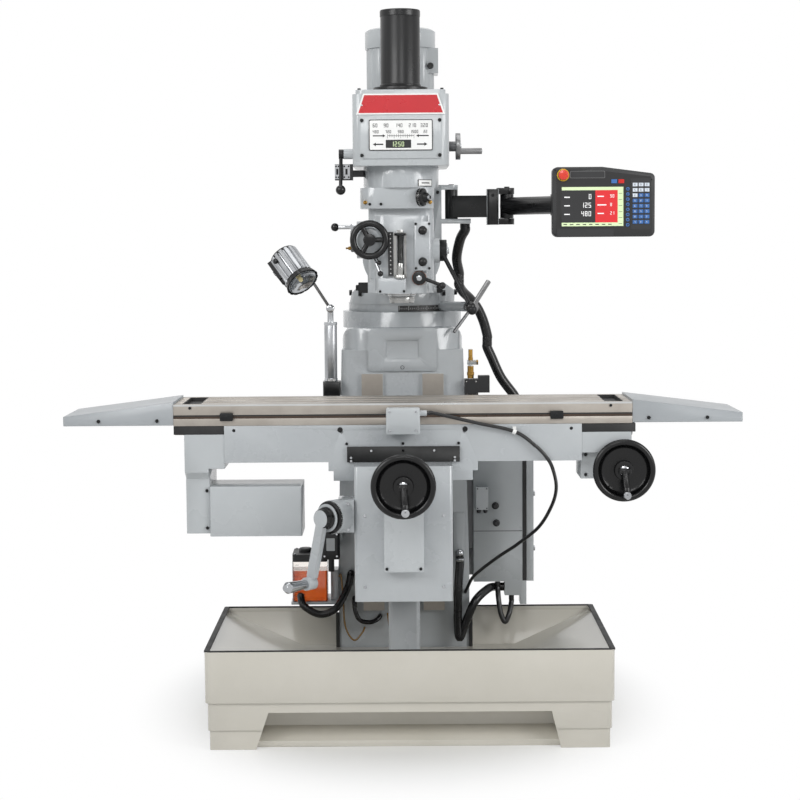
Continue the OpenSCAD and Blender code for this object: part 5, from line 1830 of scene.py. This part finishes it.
@dataclass
class Pendant(Group):
    """Control pendant on its two arms."""

    front: float = -426.0
    top: float = 1622.0
    step: float = 1606.0
    soft_keys: int = 8
    soft_key_pitch: float = 14.4
    pad: tuple[int, int] = (8, 3)
    pad_pitch: Span = (16.8, 15.0)
    key: Span = (13.2, 9.8)
    face_screws: Spots = ((434, 1432), (710, 1432), (434, 1614), (707, 1586))
    readout: tuple[str, ...] = ("0", "125", "480")
    side_readout: tuple[str, ...] = ("50", "8", "21")
    solids: ClassVar = {
        "pendant_arm_inner": (BLACK_ENAMEL, 2.5), "pendant_arm_outer": (BLACK_ENAMEL, 2.5),
        "pendant_box": (TEXTURED_ABS, 6.0), "stop_button": (STOP_RED, 2.0),
    }

    def build(self) -> None:
        """Adds the joint block, bezels, screen, keys and the stop button's ring."""
        arm = Form().paint(CAST_ENAMEL)
        arm.block((253.2, 288.8), (-166.8, -113.2), (1463.2, 1568.8), 4)
        arm.paint(BLACK_OXIDE)
        for z in (1482, 1550):
            arm.cap_screw((271, -166.8, z), TO_FRONT, 5)
        arm.done("pendant_joint_block", "arm_inner", "grey_casting")
        y = self.front
        form = Form().paint(INK_BLACK)
        panel = [(438, 1436), (706, 1436), (706, self.step - 12), (566, self.top - 11),
                 (438, self.top - 11)]
        form.prism(panel, y - 0.8, y + 1, Face.FRONT, 0.4)
        form.paint(SATIN_STEEL)
        form.prism(rounded(477, 1591, 575, 1611, 3), y - 1.4, y - 0.6, Face.FRONT, 0.2)
        form.paint(TEXTURED_ABS)
        form.prism(rounded(478, 1592, 574, 1610, 2.4), y - 1.9, y - 1.2, Face.FRONT, 0.2)
        form.prism(rounded(440, 1428, 600, 1449, 4), y - 2.2, y - 0.4, Face.FRONT, 1)
        form.prism(rounded(649, 1446, 705, 1590, 4), y - 1.5, y - 0.4, Face.FRONT, 0.4)
        self._screen(form, y - 0.8)
        self._keys(form, y - 1.4)
        form.paint(STOP_YELLOW)
        form.turned((457, y - 0.6, 1600), TO_FRONT, [(17.4, 0), (17.4, 2), (16.4, 3)], 48)
        form.paint(INK_BLACK)
        form.turned((457, y - 2, 1600), TO_FRONT, [(14.4, 0), (14.4, 5), (12.6, 6)], 40)
        form.paint(BLACK_OXIDE)
        for x, z in self.face_screws:
            form.cap_screw((x, y, z), TO_FRONT, 2.2, 1.2)
        form.done("pendant_face", "pendant", "black_plastic")

    def _screen(self, form: Form, y: float) -> None:
        """Builds the lit screen with a plain readout: numbers, bars and ticks.

        Args:
            form: Form that takes the screen.
            y: Depth of the panel's face.
        """
        form.paint(NITRILE)
        form.prism(rounded(449, 1452, 630, 1570, 3), y - 1.6, y + 0.5, Face.FRONT, 0.5)
        form.paint(SCREEN_DARK).block((453, 548), (y - 2, y - 1), (1466, 1557))
        form.paint(SCREEN_RED).block((548, 611), (y - 2, y - 1), (1466, 1557))
        form.paint(SCREEN_PALE)
        form.block((453, 611), (y - 2, y - 1), (1557, 1566))
        form.block((453, 611), (y - 2, y - 1), (1456, 1466))
        form.block((611, 627), (y - 2, y - 1), (1456, 1566))
        form.paint(SCREEN_WHITE)
        for row, text in enumerate(self.readout):
            z = 1532 - 24 * row
            figures(form, text, 540 - 10.5 * len(text), y - 2, z, 14)
            form.block((460, 476), (y - 2.3, y - 1.8), (z + 4, z + 7))
        for row, text in enumerate(self.side_readout):
            z = 1538 - 24 * row
            form.block((554, 572 + 7 * (row % 2)), (y - 2.3, y - 1.8), (z, z + 3))
            figures(form, text, 590, y - 2, z - 2, 9)
        form.paint(SCREEN_DARK)
        for k in range(8):
            form.block((458 + 18 * k, 468 + 18 * k), (y - 2.3, y - 1.8), (1459.6, 1462))
        for k in range(6):
            form.block((614, 624), (y - 2.3, y - 1.8), (1462 + 17 * k, 1463 + 17 * k))

    def _keys(self, form: Form, y: float) -> None:
        """Lays out the soft keys, the key pad and the two mode keys.

        Args:
            form: Form that takes the keys.
            y: Depth of the panel's face.
        """
        for k in range(self.soft_keys):
            z = 1459 + self.soft_key_pitch * k
            form.paint(KEY_BLUE)
            form.turned((639.5, y + 0.8, z), TO_FRONT, [(5, 0), (5, 2), (4, 3)], 20)
            form.paint(SCREEN_DARK)
            form.turned((639.5, y - 2, z), TO_FRONT, [(2.4, 0), (2.4, 0.4)], 16)
        rows, columns = self.pad
        across, up = self.pad_pitch
        wide, tall = self.key
        for row in range(rows):
            for column in range(columns):
                blue = row < 5 or (row == 5 and column > 0)
                form.paint(KEY_BLUE if blue else KEY_WHITE)
                x, z = 653.5 + across * column, 1462 + up * row
                form.block((x, x + wide), (y - 2.4, y), (z, z + tall), 1.8)
                form.paint(SIGN_WHITE if blue else INK_BLACK)
                digit = str((row * columns + column + 7) % 10)
                figures(form, digit, x + 4.6, y - 2.5, z + 2.4, 5)
        form.paint(KEY_BLUE).block((593, 609), (y - 2.4, y), (1576, 1587), 1.4)
        form.paint(KEY_RED).block((613, 629), (y - 2.4, y), (1576, 1587), 1.4)


@dataclass
class WorkLamp(Group):
    """Jointed work lamp on the column's left side."""

    head_at: Point = (-324.0, -157.0, 1337.0)
    aim: Point = (0.52, -0.52, -0.68)
    post: Span = (-216.0, -96.0)
    post_rings: tuple[float, ...] = (997, 1166)
    elbow_height: float = 1217.0
    solids: ClassVar = {
        "lamp_lower": (SPUN_ALUMINIUM, 1.2), "lamp_upper": (SATIN_STEEL, 0.6),
    }

    def build(self) -> None:
        """Builds the fluted lamp head with its reflector and bulb, its bracket and rings."""
        at, way = self.head_at, self.aim
        form = Form().paint(BLACK_ENAMEL)
        form.turned(at, way, [(36, -58), (43, -56.6), (43, -50)], 64)
        form.turned(at, way, [(0, 40), (46, 40.1), (46, 44), (48.6, 46), (52.4, 58), (49.6, 58.3),
                              (44.4, 45), (44, 42), (0, 41.9)], 96,
                    lobes=lambda i: 1.0 if i % 6 < 4 else 0.97)
        form.paint(SPUN_ALUMINIUM)
        form.turned(at, way, [(43.6, -54), (46.2, -51), (46.2, 39), (45, 41)], 96,
                    lobes=lambda i: 1.0 if i % 6 < 4 else 0.89)
        form.paint(CHROMED_STEEL)
        bowl = [(0, 42.2), (9, 42.3), (18, 43.2), (30, 47), (40, 53), (44.4, 56.6),
                (46, 56.8), (44.6, 44), (0, 42.05)]
        form.turned(at, way, bowl, 64)
        form.paint(LAMP_BULB)
        ahead = Vector(way).normalized()
        form.ball(tuple(Vector(at) + ahead * 46), 7, 20, 1.2, way)
        form.paint(BLACK_ENAMEL)
        beside = ahead.cross(Vector(UP)).normalized()
        for side in BOTH_SIDES:
            foot = Vector(at) + ahead * -34 + beside * (side * 44)
            form.turned(tuple(foot), tuple(beside * side), [(8, 0), (8, 5), (5, 7)], 20)
        form.done("lamp_head_shell", "lamp", "lamp_silver", ("lamp_head",), 30)
        self._bracket()
        post = Form().paint(CHROMED_STEEL)
        x, y = self.post
        for z in self.post_rings:
            post.turned((x, y, z), UP, [(19.2, 0), (20, 1), (20, 8), (18.6, 9.4)], 36)
        post.done("lamp_post_rings", "lamp_post", "lamp_silver")
        elbow = Form().paint(CHROMED_STEEL)
        foot = land("lamp_upper", (x, -600, self.elbow_height), TO_BACK)
        elbow.turned(foot, TO_FRONT, [(11.4, -1), (11.4, 1), (8, 3), (5, 3.4)], 32)
        elbow.done("lamp_elbow_cap", "lamp_arm", "lamp_silver")

    def _bracket(self) -> None:
        """Adds the black switch bracket along the lamp head's lower side."""
        way = Vector(self.aim).normalized()
        down = Vector((-1.0, 0.0, -0.6))
        out = (down - way * down.dot(way)).normalized()
        across = way.cross(out)
        turn = Matrix((out, across, way)).transposed().to_4x4()
        form = Form(Matrix.Translation(Vector(self.head_at)) @ turn).paint(BLACK_ENAMEL)
        form.block((38, 52), (-19, 19), (-57, 14), 2.5)
        form.block((42, 49), (-15, 15), (12, 30), 2)
        form.paint(SPUN_ALUMINIUM).block((50, 53), (-9, 9), (-40, -8), 1)
        form.paint(BLACK_OXIDE).block((52, 54.5), (-4, 4), (-30, -18), 0.8)
        form.done("lamp_switch_bracket", "lamp", "lamp_silver")


@dataclass
class MillingMachine:
    """The whole machine: its studio, cords and sub-assemblies."""

    studio: Studio = field(default_factory=Studio)
    cords: Cords = field(default_factory=Cords)
    groups: tuple[Group, ...] = field(
        default_factory=lambda: (
            DripTray(), ColumnAndServices(), KneeGroup(), SaddleGroup(), TableGroup(),
            OverarmGroup(), Head(), HeadControls(), Pendant(), WorkLamp(),
        )
    )

    def build(self) -> None:
        """Builds everything in order."""
        self.studio.build()
        self.cords.build()
        for group in self.groups:
            group.dress()
            group.build()
            LOG.info("finished %s", type(group).__name__)


def main() -> None:
    """Builds the machine."""
    logging.basicConfig(level=logging.INFO, format="%(name)s: %(message)s")
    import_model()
    MillingMachine().build()


if __name__ == "__main__":
    main()
